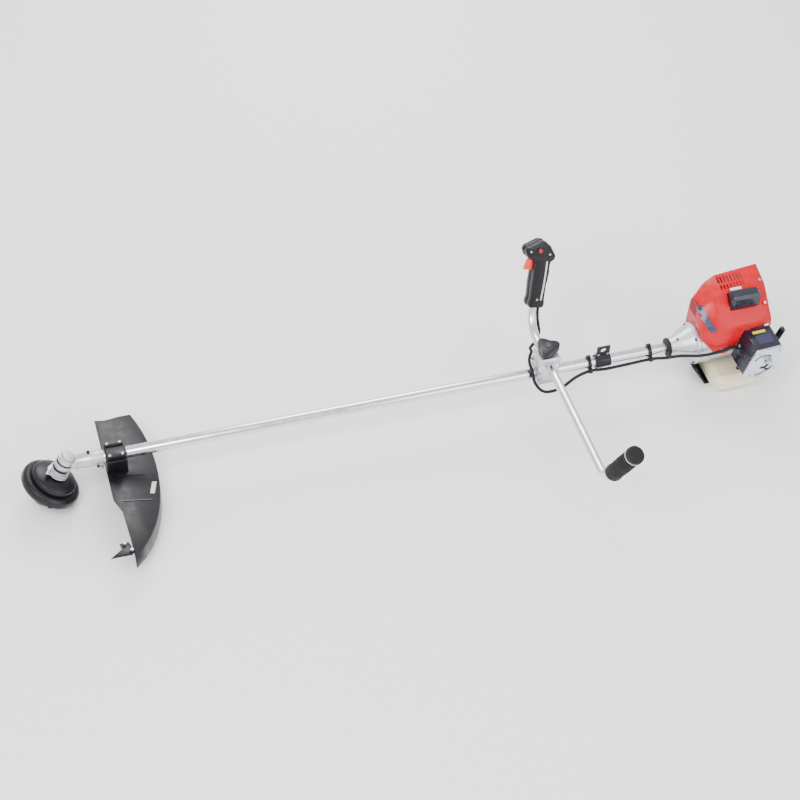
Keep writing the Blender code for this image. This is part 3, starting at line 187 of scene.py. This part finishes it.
NODE_LOOKS = {
    "tube": ("drive_tube", "handlebar"),
    "cast": ("gear_case", "gear_case_cap", "gear_case_flange", "holder_flange", "handle_clamp_base",
             "handle_clamp_cap", "clutch_housing", "crankcase", "cylinder", "piston", "flywheel",
             "carburettor"),
    "plate": ("air_cleaner_plate",),
    "steel": ("drive_shaft", "bevel_pinion", "bevel_gear", "output_shaft", "output_bearing",
              "gear_clamp_bolt",
              "clutch_drum", "clutch_shoe_1", "clutch_shoe_2", "crankshaft", "spark_plug"),
    "burnt": ("muffler",),
    "black": ("line_cutter", "head_cover", "head_case", "line_spool", "bump_knob", "guard",
              "guard_saddle", "guard_strap",
              "clamp_knob", "throttle_grip_left", "throttle_grip_right", "cable_clip_1",
              "cable_clip_2", "hanger",
              "starter_housing", "starter_handle", "fuel_cap", "tank_guard", "air_cleaner_base"),
    "blue_sheen_black": ("air_cleaner_cover", "plug_cap"),
    "rubber": ("shaft_bush_1", "shaft_bush_2", "rubber_ring", "left_grip", "throttle_cable_upper",
               "throttle_cable_lower"),
    "red": ("engine_hood", "safety_lever", "stop_switch"),
    "orange": ("throttle_trigger",),
    "grey": ("choke_lever",),
    "tank": ("fuel_tank",),
}
ROUNDED = {
    "engine_hood": 0.0030, "fuel_tank": 0.006, "air_cleaner_cover": 0.0020, "muffler": 0.002,
    "plug_cap": 0.003, "throttle_grip_left": 0.0015, "throttle_grip_right": 0.0015,
    "throttle_trigger": 0.0012, "clamp_knob": 0.002, "handle_clamp_base": 0.0012,
    "handle_clamp_cap": 0.0015, "starter_handle": 0.0015,
}


def dress_cad():
    for look, names in NODE_LOOKS.items():
        for name in names:
            obj = NODES[name]
            obj.data.materials.clear()
            obj.data.materials.append(LOOKS[look])
            weld = obj.modifiers.new("weld", "WELD")
            weld.merge_threshold = WELD
            edge = obj.modifiers.new("edge", "BEVEL")
            edge.width = ROUNDED.get(name, SMALL_EDGE)
            edge.segments = 3 if name in ROUNDED else 2
            edge.limit_method = "ANGLE"
            edge.angle_limit = EDGE_ANGLE
            edge.harden_normals = False
            obj.data.shade_smooth()


dress_cad()


# ---- shapes added to the CAD part ----
def at_shaft(x, y=0.0, z=0.0):
    return Vector((x, y, SHAFT_Z + z))


def on_head(distance):
    return GEAR_CENTRE + HEAD_AXIS * distance


def add(bm, name, look, body, edge=0.0, smooth=True):
    """Makes bm a shown piece that moves with a CAD body."""
    bmesh.ops.recalc_face_normals(bm, faces=bm.faces)
    mesh = bpy.data.meshes.new(name)
    bm.to_mesh(mesh)
    bm.free()
    made = bpy.data.objects.new(name, mesh)
    bpy.context.scene.collection.objects.link(made)
    mesh.materials.append(LOOKS[look])
    if edge:
        rounded = made.modifiers.new("edge", "BEVEL")
        rounded.width = edge
        rounded.segments = 3
        rounded.limit_method = "ANGLE"
        rounded.angle_limit = EDGE_ANGLE
    if smooth:
        mesh.shade_smooth()
        mesh.set_sharp_from_angle(angle=math.radians(38))
    if body:
        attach(made, body)
    return made


def facing(axis, at, roll=0.0):
    turn = UP.rotation_difference(Vector(axis)).to_matrix().to_4x4()
    return Matrix.Translation(at) @ turn @ Matrix.Rotation(roll, 4, "Z")


def axes_at(at, x_axis, z_axis):
    """A frame at a point, its Z along z_axis and its X as near x_axis as that allows."""
    z = Vector(z_axis).normalized()
    x = (Vector(x_axis) - z * Vector(x_axis).dot(z)).normalized()
    return Matrix.Translation(at) @ Matrix((x, z.cross(x), z)).transposed().to_4x4()


def cylinder(bm, start, end, radius, end_radius=None, sides=32):
    start, end = Vector(start), Vector(end)
    bmesh.ops.create_cone(
        bm, cap_ends=True, segments=sides, radius1=radius,
        radius2=radius if end_radius is None else end_radius,
        depth=(end - start).length, matrix=facing(end - start, (start + end) / 2),
    )


def box(bm, size, matrix):
    bmesh.ops.create_cube(bm, size=1.0, matrix=matrix @ Matrix.Diagonal((*size, 1)))


def spun(bm, profile, matrix, sides=48):
    """A closed ring of (radius, height) points turned about Z."""
    loops = []
    for i in range(sides):
        turn = 2 * math.pi * i / sides
        ring = [(r * math.cos(turn), r * math.sin(turn), h) for r, h in profile]
        loops.append([bm.verts.new(matrix @ Vector(point)) for point in ring])
    for here, after in zip(loops, [*loops[1:], loops[0]]):
        for i in range(len(profile)):
            j = (i + 1) % len(profile)
            bm.faces.new((here[i], here[j], after[j], after[i]))


def screw_head(bm, at, axis, radius=0.0035, height=0.0028, socket=True):
    """A round head, with a round socket recess unless socket is false."""
    matrix = facing(axis, at)
    if socket:
        profile = [(0.0001, 0), (radius, 0), (radius, height * 0.8), (radius * 0.88, height),
                   (radius * 0.55, height), (radius * 0.5, height * 0.4), (0.0001, height * 0.4)]
    else:
        profile = [(0.0001, 0), (radius, 0), (radius, height * 0.6), (radius * 0.6, height), (0.0001, height)]
    spun(bm, profile, matrix, 12)


def hex_head(bm, at, axis, radius=0.0055, height=0.0035):
    cylinder(bm, at, Vector(at) + Vector(axis).normalized() * 0.0008, radius * 1.35, sides=24)
    cylinder(bm, at, Vector(at) + Vector(axis).normalized() * height, radius, sides=6)


def tube_along(points, radius, sides=12):
    """A round rod mesh through points."""
    bm = bmesh.new()
    points = [Vector(p) for p in points]
    loops, side = [], None
    for i, point in enumerate(points):
        ahead = (points[min(i + 1, len(points) - 1)] - points[max(i - 1, 0)]).normalized()
        side = ahead.orthogonal() if side is None else side - ahead * side.dot(ahead)
        side = side.normalized()
        other = ahead.cross(side)
        loops.append([
            bm.verts.new(point + (side * math.cos(a) + other * math.sin(a)) * radius)
            for a in (2 * math.pi * k / sides for k in range(sides))
        ])
    for here, after in zip(loops, loops[1:]):
        for k in range(sides):
            j = (k + 1) % sides
            bm.faces.new((here[k], here[j], after[j], after[k]))
    bm.faces.new(loops[0])
    bm.faces.new(loops[-1])
    return bm


def smooth_path(knots, spacing):
    """Evenly spaced points on a smooth curve through the knots."""
    knots = [Vector(k) for k in knots]
    ends = [knots[0] * 2 - knots[1], *knots, knots[-1] * 2 - knots[-2]]
    fine = []
    for a, b, c, d in zip(ends, ends[1:], ends[2:], ends[3:]):
        count = max(2, round((c - b).length / spacing))
        for i in range(count):
            t = i / count
            fine.append(
                0.5 * (2 * b + (c - a) * t + (2 * a - 5 * b + 4 * c - d) * t * t
                       + (3 * b - a - 3 * c + d) * t**3)
            )
    return [*fine, knots[-1]]


def surface_of(node):
    return BVHTree.FromObject(NODES[node], bpy.context.evaluated_depsgraph_get())


def decal(name, node, look, at, outward, across, polygons, lift=0.0004):
    """Thin flat shapes, given as (across, up) outlines, laid on a CAD node's surface."""
    matrix = axes_at(at, across, outward)
    out = Vector(outward).normalized()
    tree = surface_of(node)
    bm = bmesh.new()
    for polygon in polygons:
        hits = [tree.ray_cast(matrix @ Vector((u, v, 0.05)), -out, 0.12)[0] for u, v in polygon]
        if all(hit is not None for hit in hits):
            bm.faces.new([bm.verts.new(hit + out * lift) for hit in hits])
    bmesh.ops.remove_doubles(bm, verts=bm.verts, dist=0.00002)
    made = add(bm, name, look, body_named(node), smooth=False)
    skin = made.modifiers.new("thickness", "SOLIDIFY")
    skin.thickness = lift * 1.6
    skin.offset = 0
    return made


def body_named(node):
    for body, names in frame["record"]["behaviour"]["bodies"].items():
        if node in names:
            return body
    return "frame"


def grid(width, height, columns, rows, slant=0.0):
    """Quads that tile a rectangle centred on the origin."""
    quads = []
    for i in range(columns):
        for j in range(rows):
            corners = ((i, j), (i + 1, j), (i + 1, j + 1), (i, j + 1))
            quads.append([
                (width * (a / columns - 0.5) + slant * height * (b / rows - 0.5), height * (b / rows - 0.5))
                for a, b in corners
            ])
    return quads


def arc_band(centre, radius, width, first, last, steps=14):
    """Quads along an arc, angles in degrees."""
    angles = [math.radians(first + (last - first) * i / steps) for i in range(steps + 1)]
    ring = [[(centre[0] + r * math.cos(a), centre[1] + r * math.sin(a)) for a in angles]
            for r in (radius - width / 2, radius + width / 2)]
    return [[ring[0][i], ring[0][i + 1], ring[1][i + 1], ring[1][i]] for i in range(steps)]


def disc(centre, radius, sides=8):
    turns = [2 * math.pi * i / sides for i in range(sides)]
    return [(centre[0] + radius * math.cos(a), centre[1] + radius * math.sin(a)) for a in turns]


# ---- line head and gear head ----
def head_details():
    bm = bmesh.new()
    ribs = 72
    matrix = facing(HEAD_AXIS, GEAR_CENTRE)
    rings = []
    for height in (-0.0115, -0.0100, 0.0125, 0.0140):
        loop = []
        for i in range(ribs * 2):
            turn = math.pi * i / ribs
            rise = 0.0007 if i % 2 and abs(height) < 0.013 else 0.0
            radius = BAND_R + rise
            point = Vector((radius * math.cos(turn), radius * math.sin(turn), height))
            loop.append(bm.verts.new(matrix @ point))
        rings.append(loop)
    for low, high in zip(rings, rings[1:]):
        for i in range(ribs * 2):
            j = (i + 1) % (ribs * 2)
            bm.faces.new((low[i], low[j], high[j], high[i]))
    # the knurled band's near-black colour is painted shade on the steel
    add(bm, "knurled_band", "painted_shade", "frame", smooth=False)

    bm = bmesh.new()
    for x, radius, width in ((-1.648, 0.0197, 0.003), (-1.613, 0.0194, 0.0035), (-1.5895, 0.0200, 0.004)):
        profile = [(0.0150, -width / 2), (radius - 0.0006, -width / 2), (radius, -width * 0.3),
                   (radius, width * 0.3), (radius - 0.0006, width / 2), (0.0150, width / 2)]
        spun(bm, profile, facing(ALONG, at_shaft(x)))
    add(bm, "neck_bands", "cast", "frame")

    bm = bmesh.new()
    flange = facing(HEAD_AXIS, on_head(0.0184), math.radians(-25))
    for side in (-1, 1):
        screw_head(bm, flange @ Vector((side * 0.0315, 0, 0)), -HEAD_AXIS, 0.0034, 0.003)
    add(bm, "flange_screws", "steel", "frame")
    bm = bmesh.new()
    screw_head(bm, at_shaft(-1.618, 0.004, 0.0183), (0, 0.2, 1), 0.0042, 0.0045)
    screw_head(bm, at_shaft(-1.600, -0.0195, -0.006), (0, -1, -0.2), 0.0036, 0.004)
    add(bm, "neck_screws", "black", "frame")

    bm = bmesh.new()
    low = facing(HEAD_AXIS, GEAR_CENTRE)
    for i in range(12):
        turn = math.radians(30 * i)
        spoke = low @ Matrix.Rotation(turn, 4, "Z") @ Matrix.Translation((0.0520, 0, 0.0500))
        box(bm, (0.0030, 0.0100, 0.0030), spoke)
    for turn in (math.radians(100), math.radians(280)):
        out = low.to_3x3() @ Vector((math.cos(turn), math.sin(turn), 0))
        eye = on_head(0.0735) + out * 0.0700
        spun(bm, [(0.0022, 0.0030), (0.0060, 0.0030), (0.0068, 0.0010), (0.0068, -0.0040), (0.0022, -0.0040)],
             facing(out, eye), 20)
    add(bm, "head_ribs", "black", "head", edge=SMALL_EDGE)


# ---- guard ----
def guard_details():
    up = Vector((0.2, 0, 1))
    decal("guard_window", "guard", "grey", (-1.479, -0.078, 0.09), up, ALONG, grid(0.011, 0.036, 2, 8, 0.35))
    # flat strips with no relief; their blue tint is painted sheen where the guard's ribs catch light
    ribs = [[(-0.040, y - 0.0009), (0.030, y - 0.0009), (0.030, y + 0.0009), (-0.040, y + 0.0009)]
            for y in (-0.035, -0.115, -0.19, 0.06)]
    decal("guard_rib_sheen", "guard", "blue_sheen_black", (-1.520, 0, 0.09), up, ALONG, ribs, lift=0.0008)
    bm = bmesh.new()
    for x in (-1.571, -1.541):
        for y in (-0.0185, 0.0185):
            screw_head(bm, at_shaft(x, y, 0.0185), (0, 0, 1), 0.0034, 0.003)
    screw_head(bm, (-1.585, -0.2440, 0.0865), (0.2, 0, 1), 0.0042, 0.003)
    screw_head(bm, (-1.572, -0.2640, 0.0845), (0.2, 0, 1), 0.0042, 0.003)
    add(bm, "guard_screws", "steel", "frame")


# ---- handlebar, grips and clamp ----
def grip_axes():
    side = (ACROSS - HORN_RIGHT * ACROSS.dot(HORN_RIGHT)).normalized()
    rear = side.cross(HORN_RIGHT)
    origin = BAR_CENTRE + ACROSS * HORN_OFFSET_RIGHT + HORN_RIGHT * GRIP_RISE
    return Matrix.Translation(origin) @ Matrix((rear, side, HORN_RIGHT)).transposed().to_4x4()


def handle_details():
    grip = grip_axes()
    left_side = -(grip.to_3x3() @ ACROSS)
    rear = grip.to_3x3() @ ALONG
    middle = grip @ Vector((0, -0.02, 0.09))
    strip = []
    for i in range(12):
        low, high = -0.070 + 0.0085 * i, -0.070 + 0.0085 * (i + 1)
        bow = [0.0085 + 0.0030 * math.sin((v + 0.07) / 0.102 * 2.2) for v in (low, high)]
        strip.append([(bow[0], low), (bow[0] + 0.0042, low), (bow[1] + 0.0042, high), (bow[1], high)])
    decal("grip_seam", "throttle_grip_left", "grey", middle, left_side, rear, strip, lift=0.0003)
    bm = bmesh.new()
    for x, z in ((0.0, 0.022), (0.018, 0.140), (-0.034, 0.147)):
        screw_head(bm, grip @ Vector((x, -0.0183, z)), left_side, 0.0032, 0.0022)
    add(bm, "grip_screws", "steel", "handlebars")
    bm = bmesh.new()
    profile = [(0.0040, 0), (0.0075, 0), (0.0080, 0.0010), (0.0075, 0.0022), (0.0060, 0.0026),
               (0.0040, 0.0010)]
    spun(bm, profile,
         facing(left_side, grip @ Vector((-0.010, -0.0186, 0.150))), 28)
    add(bm, "switch_collar", "black", "handlebars")

    start = BAR_CENTRE - ACROSS * HORN_OFFSET_LEFT + HORN_LEFT * LEFT_GRIP_RISE
    matrix = facing(HORN_LEFT, start)
    bm = bmesh.new()
    for i in range(13):
        height = 0.022 + 0.0068 * i
        radius = 0.0192 + 0.0013 * math.sin(math.pi * (i + 1) / 14)
        profile = [(0.0170, height), (radius, height), (radius + 0.0010, height + 0.0008),
                   (radius + 0.0010, height + 0.0030), (radius, height + 0.0038), (0.0170, height + 0.0038)]
        spun(bm, profile, matrix, 40)
    add(bm, "grip_rings", "rubber", "handlebars")
    bm = bmesh.new()
    profile = [(0.0200, 0.1100), (0.0227, 0.1104), (0.0230, 0.1112), (0.0227, 0.1120), (0.0200, 0.1124)]
    spun(bm, profile, matrix, 40)
    add(bm, "grip_seam_ring", "grey", "handlebars")

    bm = bmesh.new()
    for y in (-0.0172, 0.0172):
        hex_head(bm, at_shaft(-0.4520, y, 0.036), (1, 0, 0), 0.0042, 0.0035)
        hex_head(bm, at_shaft(-0.5080, y, 0.036), (-1, 0, 0), 0.0042, 0.0035)
    for x in (-0.500, -0.460):
        screw_head(bm, at_shaft(x, -0.0270, 0.005), (0, -1, 0), 0.0045, 0.0035)
        screw_head(bm, at_shaft(x, 0.0270, 0.005), (0, 1, 0), 0.0045, 0.0035)
    add(bm, "clamp_screws", "steel", "frame")
    bm = bmesh.new()
    cylinder(bm, at_shaft(-0.480, 0, 0.0915), at_shaft(-0.480, 0, 0.0930), 0.0085, 0.0075)
    cylinder(bm, at_shaft(-0.480, 0, 0.0670), at_shaft(-0.480, 0, 0.0685), 0.0165)
    add(bm, "knob_cap", "blue_sheen_black", "knob")


def cable():
    grip = grip_axes()
    split = at_shaft(-0.500, 0.048, 0.028)
    knots = [grip @ Vector((0.0154, 0, z)) for z in (0.050, 0.020, 0.0, -0.012)]
    knots += [
        grip @ Vector((0.0175, -0.002, -0.034)),
        at_shaft(-0.4640, 0.096, 0.034), at_shaft(-0.485, 0.074, 0.026), at_shaft(-0.4995, 0.060, 0.028),
        split,
        at_shaft(-0.5110, 0.031, 0.029), at_shaft(-0.5180, 0.012, 0.027), at_shaft(-0.5180, -0.010, 0.020),
        at_shaft(-0.5140, -0.0285, -0.006), at_shaft(-0.492, -0.042, -0.028),
        at_shaft(-0.450, -0.040, -0.029), at_shaft(-0.402, -0.0245, -0.016), at_shaft(-0.364, -0.0205, -0.0085),
        at_shaft(-0.328, -0.0235, -0.0085), at_shaft(-0.280, -0.0225, -0.0090),
        at_shaft(-0.202, -0.0205, -0.0085), at_shaft(-0.165, -0.0300, -0.004),
        at_shaft(-0.130, -0.0420, 0.006), at_shaft(-0.090, -0.0600, 0.014), at_shaft(-0.050, -0.0680, 0.022),
        at_shaft(-0.012, -0.0680, 0.030), at_shaft(0.0060, -0.0680, 0.030),
    ]
    sleeve = add(tube_along(smooth_path(knots, 0.006), CABLE_R), "throttle_cable", "rubber", None)
    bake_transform(sleeve)
    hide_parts("throttle_cable_upper", "throttle_cable_lower")


# ---- engine ----
def engine_details():
    front_left = Vector((-0.66, -0.52, 0.55))
    along_plate = Vector((0.45, -0.62, -0.64))
    decal("name_plate", "engine_hood", "navy", at_shaft(-0.060, -0.012, 0.090), front_left, along_plate,
          grid(0.074, 0.017, 14, 4, 0.12), lift=0.0008)
    # painted shade: dark discs on the hood stand for the shade inside the front vent holes
    holes = []
    for row in range(9):
        for column in range(8):
            u = (column - 3.5 + 0.5 * (row % 2)) * 0.0052
            holes.append(disc((u, (row - 4) * 0.0047), 0.0018, 6))
    decal("front_vent_shade", "engine_hood", "painted_shade", at_shaft(-0.07, 0.034, 0.092), (-0.92, 0.10, 0.30),
          ACROSS, holes, lift=0.0003)
    decal("hood_label", "engine_hood", "label", at_shaft(0.020, 0.020, 0.15), (0, -0.12, 1), ALONG,
          grid(0.030, 0.0075, 4, 2), lift=0.0003)
    ridge = [[(-0.046, -0.0011), (0.056, -0.0011), (0.056, 0.0011), (-0.046, 0.0011)]]
    decal("hood_ridge", "engine_hood", "red", at_shaft(0.026, -0.046, 0.13), (0, -0.5, 0.87), ALONG,
          ridge, lift=0.0012)
    # painted shade: dark strips stand for the shade inside the side louvres
    louvres = []
    for k in range(6):
        low, high = -0.030 + 0.012 * k, -0.0265 + 0.012 * k
        louvres.append([(-0.040, low), (0.040, low), (0.040, high), (-0.040, high)])
    decal("side_louvre_shade", "engine_hood", "painted_shade", at_shaft(0.02, 0.10, 0.06), (0, 1, 0.1), ALONG, louvres)
    bm = bmesh.new()
    for at, axis in (((-0.030, -0.0585, 0.020), (0, -1, 0)), ((0.088, 0.030, 0.1500), (0, 0, 1)),
                     ((-0.030, 0.060, 0.1385), (-0.3, -0.1, 1)), ((0.086, -0.020, 0.119), (0, -0.6, 0.8))):
        screw_head(bm, at_shaft(*at), axis, 0.0042, 0.0032)
    add(bm, "hood_screws", "steel", "frame")

    bm = bmesh.new()
    for degrees in (35, 125, 215, 305):
        turn = math.radians(degrees)
        at = at_shaft(CONE_SCREW_X, CONE_SCREW_RADIUS * math.cos(turn), CONE_SCREW_RADIUS * math.sin(turn))
        cylinder(bm, at, at + ALONG * 0.009, 0.0062, sides=20)
    add(bm, "cone_lugs", "cast", "frame", edge=0.0006)
    bm = bmesh.new()
    for degrees in (35, 125, 215, 305):
        turn = math.radians(degrees)
        at = at_shaft(CONE_SCREW_X, CONE_SCREW_RADIUS * math.cos(turn), CONE_SCREW_RADIUS * math.sin(turn))
        screw_head(bm, at, -ALONG, 0.0044, 0.0048)
    screw_head(bm, at_shaft(-0.128, -0.004, 0.0255), (-0.3, 0, 1), 0.0036, 0.0045)
    add(bm, "cone_screws", "black", "frame")
    bm = bmesh.new()
    for k in range(8):
        turn = math.radians(22.5 + 45 * k)
        out = Vector((0, math.cos(turn), math.sin(turn)))
        rib = axes_at(at_shaft(-0.1165) + out * 0.0345, ALONG, out)
        box(bm, (0.044, 0.0022, 0.004), rib @ Matrix.Rotation(math.radians(-33), 4, "Y"))
    add(bm, "cone_ribs", "cast", "frame", edge=SMALL_EDGE)

    decal("cleaner_panel", "air_cleaner_cover", "navy", at_shaft(0.060, -0.098, 0.08), (0, 0, 1), ALONG,
          grid(0.040, 0.030, 2, 2), lift=0.0003)
    decal("cleaner_label", "air_cleaner_cover", "yellow", at_shaft(0.056, -0.0715, 0.08), (0, 0, 1), ALONG,
          grid(0.034, 0.0085, 2, 1), lift=0.0004)
    # painted shade: dark arcs on the plate stand for the shade inside its slots
    centre = (0.004, 0.004)
    swirls = [*arc_band(centre, 0.013, 0.0075, 60, 190), *arc_band(centre, 0.0215, 0.0042, 200, 285),
              *arc_band(centre, 0.0300, 0.0030, 235, 330), *arc_band((-0.012, 0.016), 0.010, 0.005, 20, 120),
              *arc_band((-0.006, -0.004), 0.0075, 0.005, 250, 380)]
    decal("plate_slot_shade", "air_cleaner_plate", "painted_shade", at_shaft(0.052, -0.16, 0.030), (0, -1, 0), -ALONG,
          swirls, lift=0.0003)
    bm = bmesh.new()
    cylinder(bm, at_shaft(0.061, -0.1372, 0.036), at_shaft(0.061, -0.1400, 0.036), 0.0085)
    cylinder(bm, at_shaft(0.061, -0.1400, 0.036), at_shaft(0.061, -0.1435, 0.036), 0.0050, sides=6)
    for x, z in ((0.018, -0.008), (0.084, 0.066), (0.032, 0.062)):
        screw_head(bm, at_shaft(x, -0.1370, z), (0, -1, 0), 0.0030, 0.0022)
    add(bm, "plate_nut", "steel", "frame", edge=0.0004)

    for number, (low_y, top_x) in enumerate(((-0.060, 0.040), (-0.074, 0.052))):
        points = [at_shaft(0.030 + 0.012 * number, low_y, -0.064), at_shaft(0.034, low_y, -0.045),
                  at_shaft(0.044 + 0.006 * number, low_y + 0.004, -0.015), at_shaft(top_x, -0.066, 0.022)]
        add(tube_along(smooth_path(points, 0.004), 0.0023, 10), f"fuel_line_{number + 1}", "yellow", "frame")
    bm = bmesh.new()
    for x in (0.030, 0.042):
        spun(bm, [(0.0024, -0.0635), (0.0060, -0.0635), (0.0054, -0.0590), (0.0024, -0.0590)],
             Matrix.Translation(at_shaft(x, -0.060 - (x - 0.030) * 1.17, 0)), 20)
    add(bm, "tank_grommets", "rubber", "frame")
    low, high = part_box("fuel_tank")
    bm = bmesh.new()
    middle = (low + high) / 2
    seam = (high.x - low.x - 0.0002, high.y - low.y - 0.0105, 0.0022)
    box(bm, seam, Matrix.Translation((middle.x, -0.008, middle.z)))
    add(bm, "tank_seam", "tank", "frame", edge=SMALL_EDGE)

    rope = tube_along([at_shaft(0.092 + 0.0012 * i, -0.045, 0.013) for i in range(18)], 0.0020, 10)
    cord = add(rope, "starter_rope", "label", None)
    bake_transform(cord)
    # painted shade: dark blocks stand for the shade inside the starter housing's vent slots
    bm = bmesh.new()
    for k in range(10):
        turn = math.radians(36 * k + 90)
        out = Vector((0, math.cos(turn), math.sin(turn)))
        if (out - Vector((0, -0.96, 0.28))).length > 0.5:
            box(bm, (0.0016, 0.026, 0.0042), axes_at(at_shaft(0.1034) + out * 0.022, ALONG, ALONG.cross(out)))
    add(bm, "starter_vent_shade", "painted_shade", "frame")

    bm = bmesh.new()
    low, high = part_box("muffler")
    for i in range(5):
        z = low.z + 0.014 + 0.0095 * i
        box(bm, (0.050, 0.0016, 0.0045), Matrix.Translation((0.010, high.y - 0.0002, z)))
    add(bm, "muffler_ribs", "burnt", "frame", edge=0.0006)
    bm = bmesh.new()
    for x in (-0.016, 0.036):
        hex_head(bm, (x, high.y - 0.001, high.z - 0.012), (0, 1, 0), 0.0048, 0.0035)
    add(bm, "muffler_bolts", "steel", "frame")


def tube_details():
    bm = bmesh.new()
    for x in (-0.364, -0.202):
        box(bm, (0.0105, 0.0090, 0.0065), Matrix.Translation(at_shaft(x, 0.004, 0.0165)))
    box(bm, (0.010, 0.010, 0.007), Matrix.Translation(at_shaft(-0.328, 0.0, -0.0190)))
    add(bm, "strap_buckles", "black", "frame", edge=0.001)
    bm = bmesh.new()
    screw_head(bm, at_shaft(-0.316, -0.0026, 0.0235), (0, -1, 0), 0.0038, 0.003)
    screw_head(bm, at_shaft(-0.340, -0.0026, 0.0235), (0, -1, 0), 0.0038, 0.003)
    add(bm, "hanger_screws", "steel", "frame")


head_details()
guard_details()
handle_details()
cable()
engine_details()
tube_details()


# ---- floor, light and camera ----
def studio():
    bm = bmesh.new()
    bmesh.ops.create_grid(bm, x_segments=1, y_segments=1, size=30)
    mesh = bpy.data.meshes.new("floor")
    bm.to_mesh(mesh)
    bm.free()
    floor = bpy.data.objects.new("floor", mesh)
    floor.location = (-0.8, 0, -0.0004)
    bpy.context.scene.collection.objects.link(floor)
    paper = bpy.data.materials.new("pale floor")
    paper.use_nodes = True
    nodes, links = paper.node_tree.nodes, paper.node_tree.links
    shader = nodes["Principled BSDF"]
    shader.inputs["Roughness"].default_value = 0.9
    grain = nodes.new("ShaderNodeTexNoise")
    grain.inputs["Scale"].default_value = 3.0
    tone = nodes.new("ShaderNodeMapRange")
    tone.inputs["To Min"].default_value = 0.95
    tone.inputs["To Max"].default_value = 0.97
    links.new(grain.outputs["Fac"], tone.inputs["Value"])
    links.new(tone.outputs["Result"], shader.inputs["Base Color"])
    mesh.materials.append(paper)

    world = bpy.data.worlds.new("studio")
    world.use_nodes = True
    sky = world.node_tree.nodes["Background"]
    sky.inputs["Color"].default_value = (0.96, 0.97, 1.0, 1)
    sky.inputs["Strength"].default_value = 1.25
    bpy.context.scene.world = world
    for name, at, size, power, colour in (
        ("key", (-2.6, -1.6, 3.0), 1.6, 110, (1.0, 0.98, 0.95)),
        ("fill", (0.9, -2.2, 2.0), 2.4, 55, (0.93, 0.96, 1.0)),
        ("back", (-0.4, 2.4, 2.4), 1.8, 80, (1.0, 1.0, 1.0)),
    ):
        lamp = bpy.data.lights.new(name, "AREA")
        lamp.size = size
        lamp.energy = power
        lamp.color = colour
        made = bpy.data.objects.new(name, lamp)
        made.matrix_world = facing(Vector(at) - Vector((-0.7, 0, 0.1)), Vector(at))
        bpy.context.scene.collection.objects.link(made)


def photographer():
    """The camera: above the operator's left, a long lens, slightly rolled."""
    turn, rise, roll = 0.345075, 0.818563, 0.065415
    back = Vector((-math.sin(turn) * math.cos(rise), -math.cos(turn) * math.cos(rise), math.sin(rise)))
    level = Vector((math.cos(turn), -math.sin(turn), 0))
    upward = back.cross(level)
    right = level * math.cos(roll) + upward * math.sin(roll)
    above = upward * math.cos(roll) - level * math.sin(roll)
    lens = bpy.data.cameras.new("camera")
    lens.lens = 86.08
    lens.sensor_width = 36
    lens.clip_end = 60
    camera = bpy.data.objects.new("camera", lens)
    axes = Matrix((right, above, back)).transposed().to_4x4()
    camera.matrix_world = Matrix.Translation((-1.932, -2.996, 3.517)) @ axes
    bpy.context.scene.collection.objects.link(camera)
    bpy.context.scene.camera = camera


studio()
photographer()
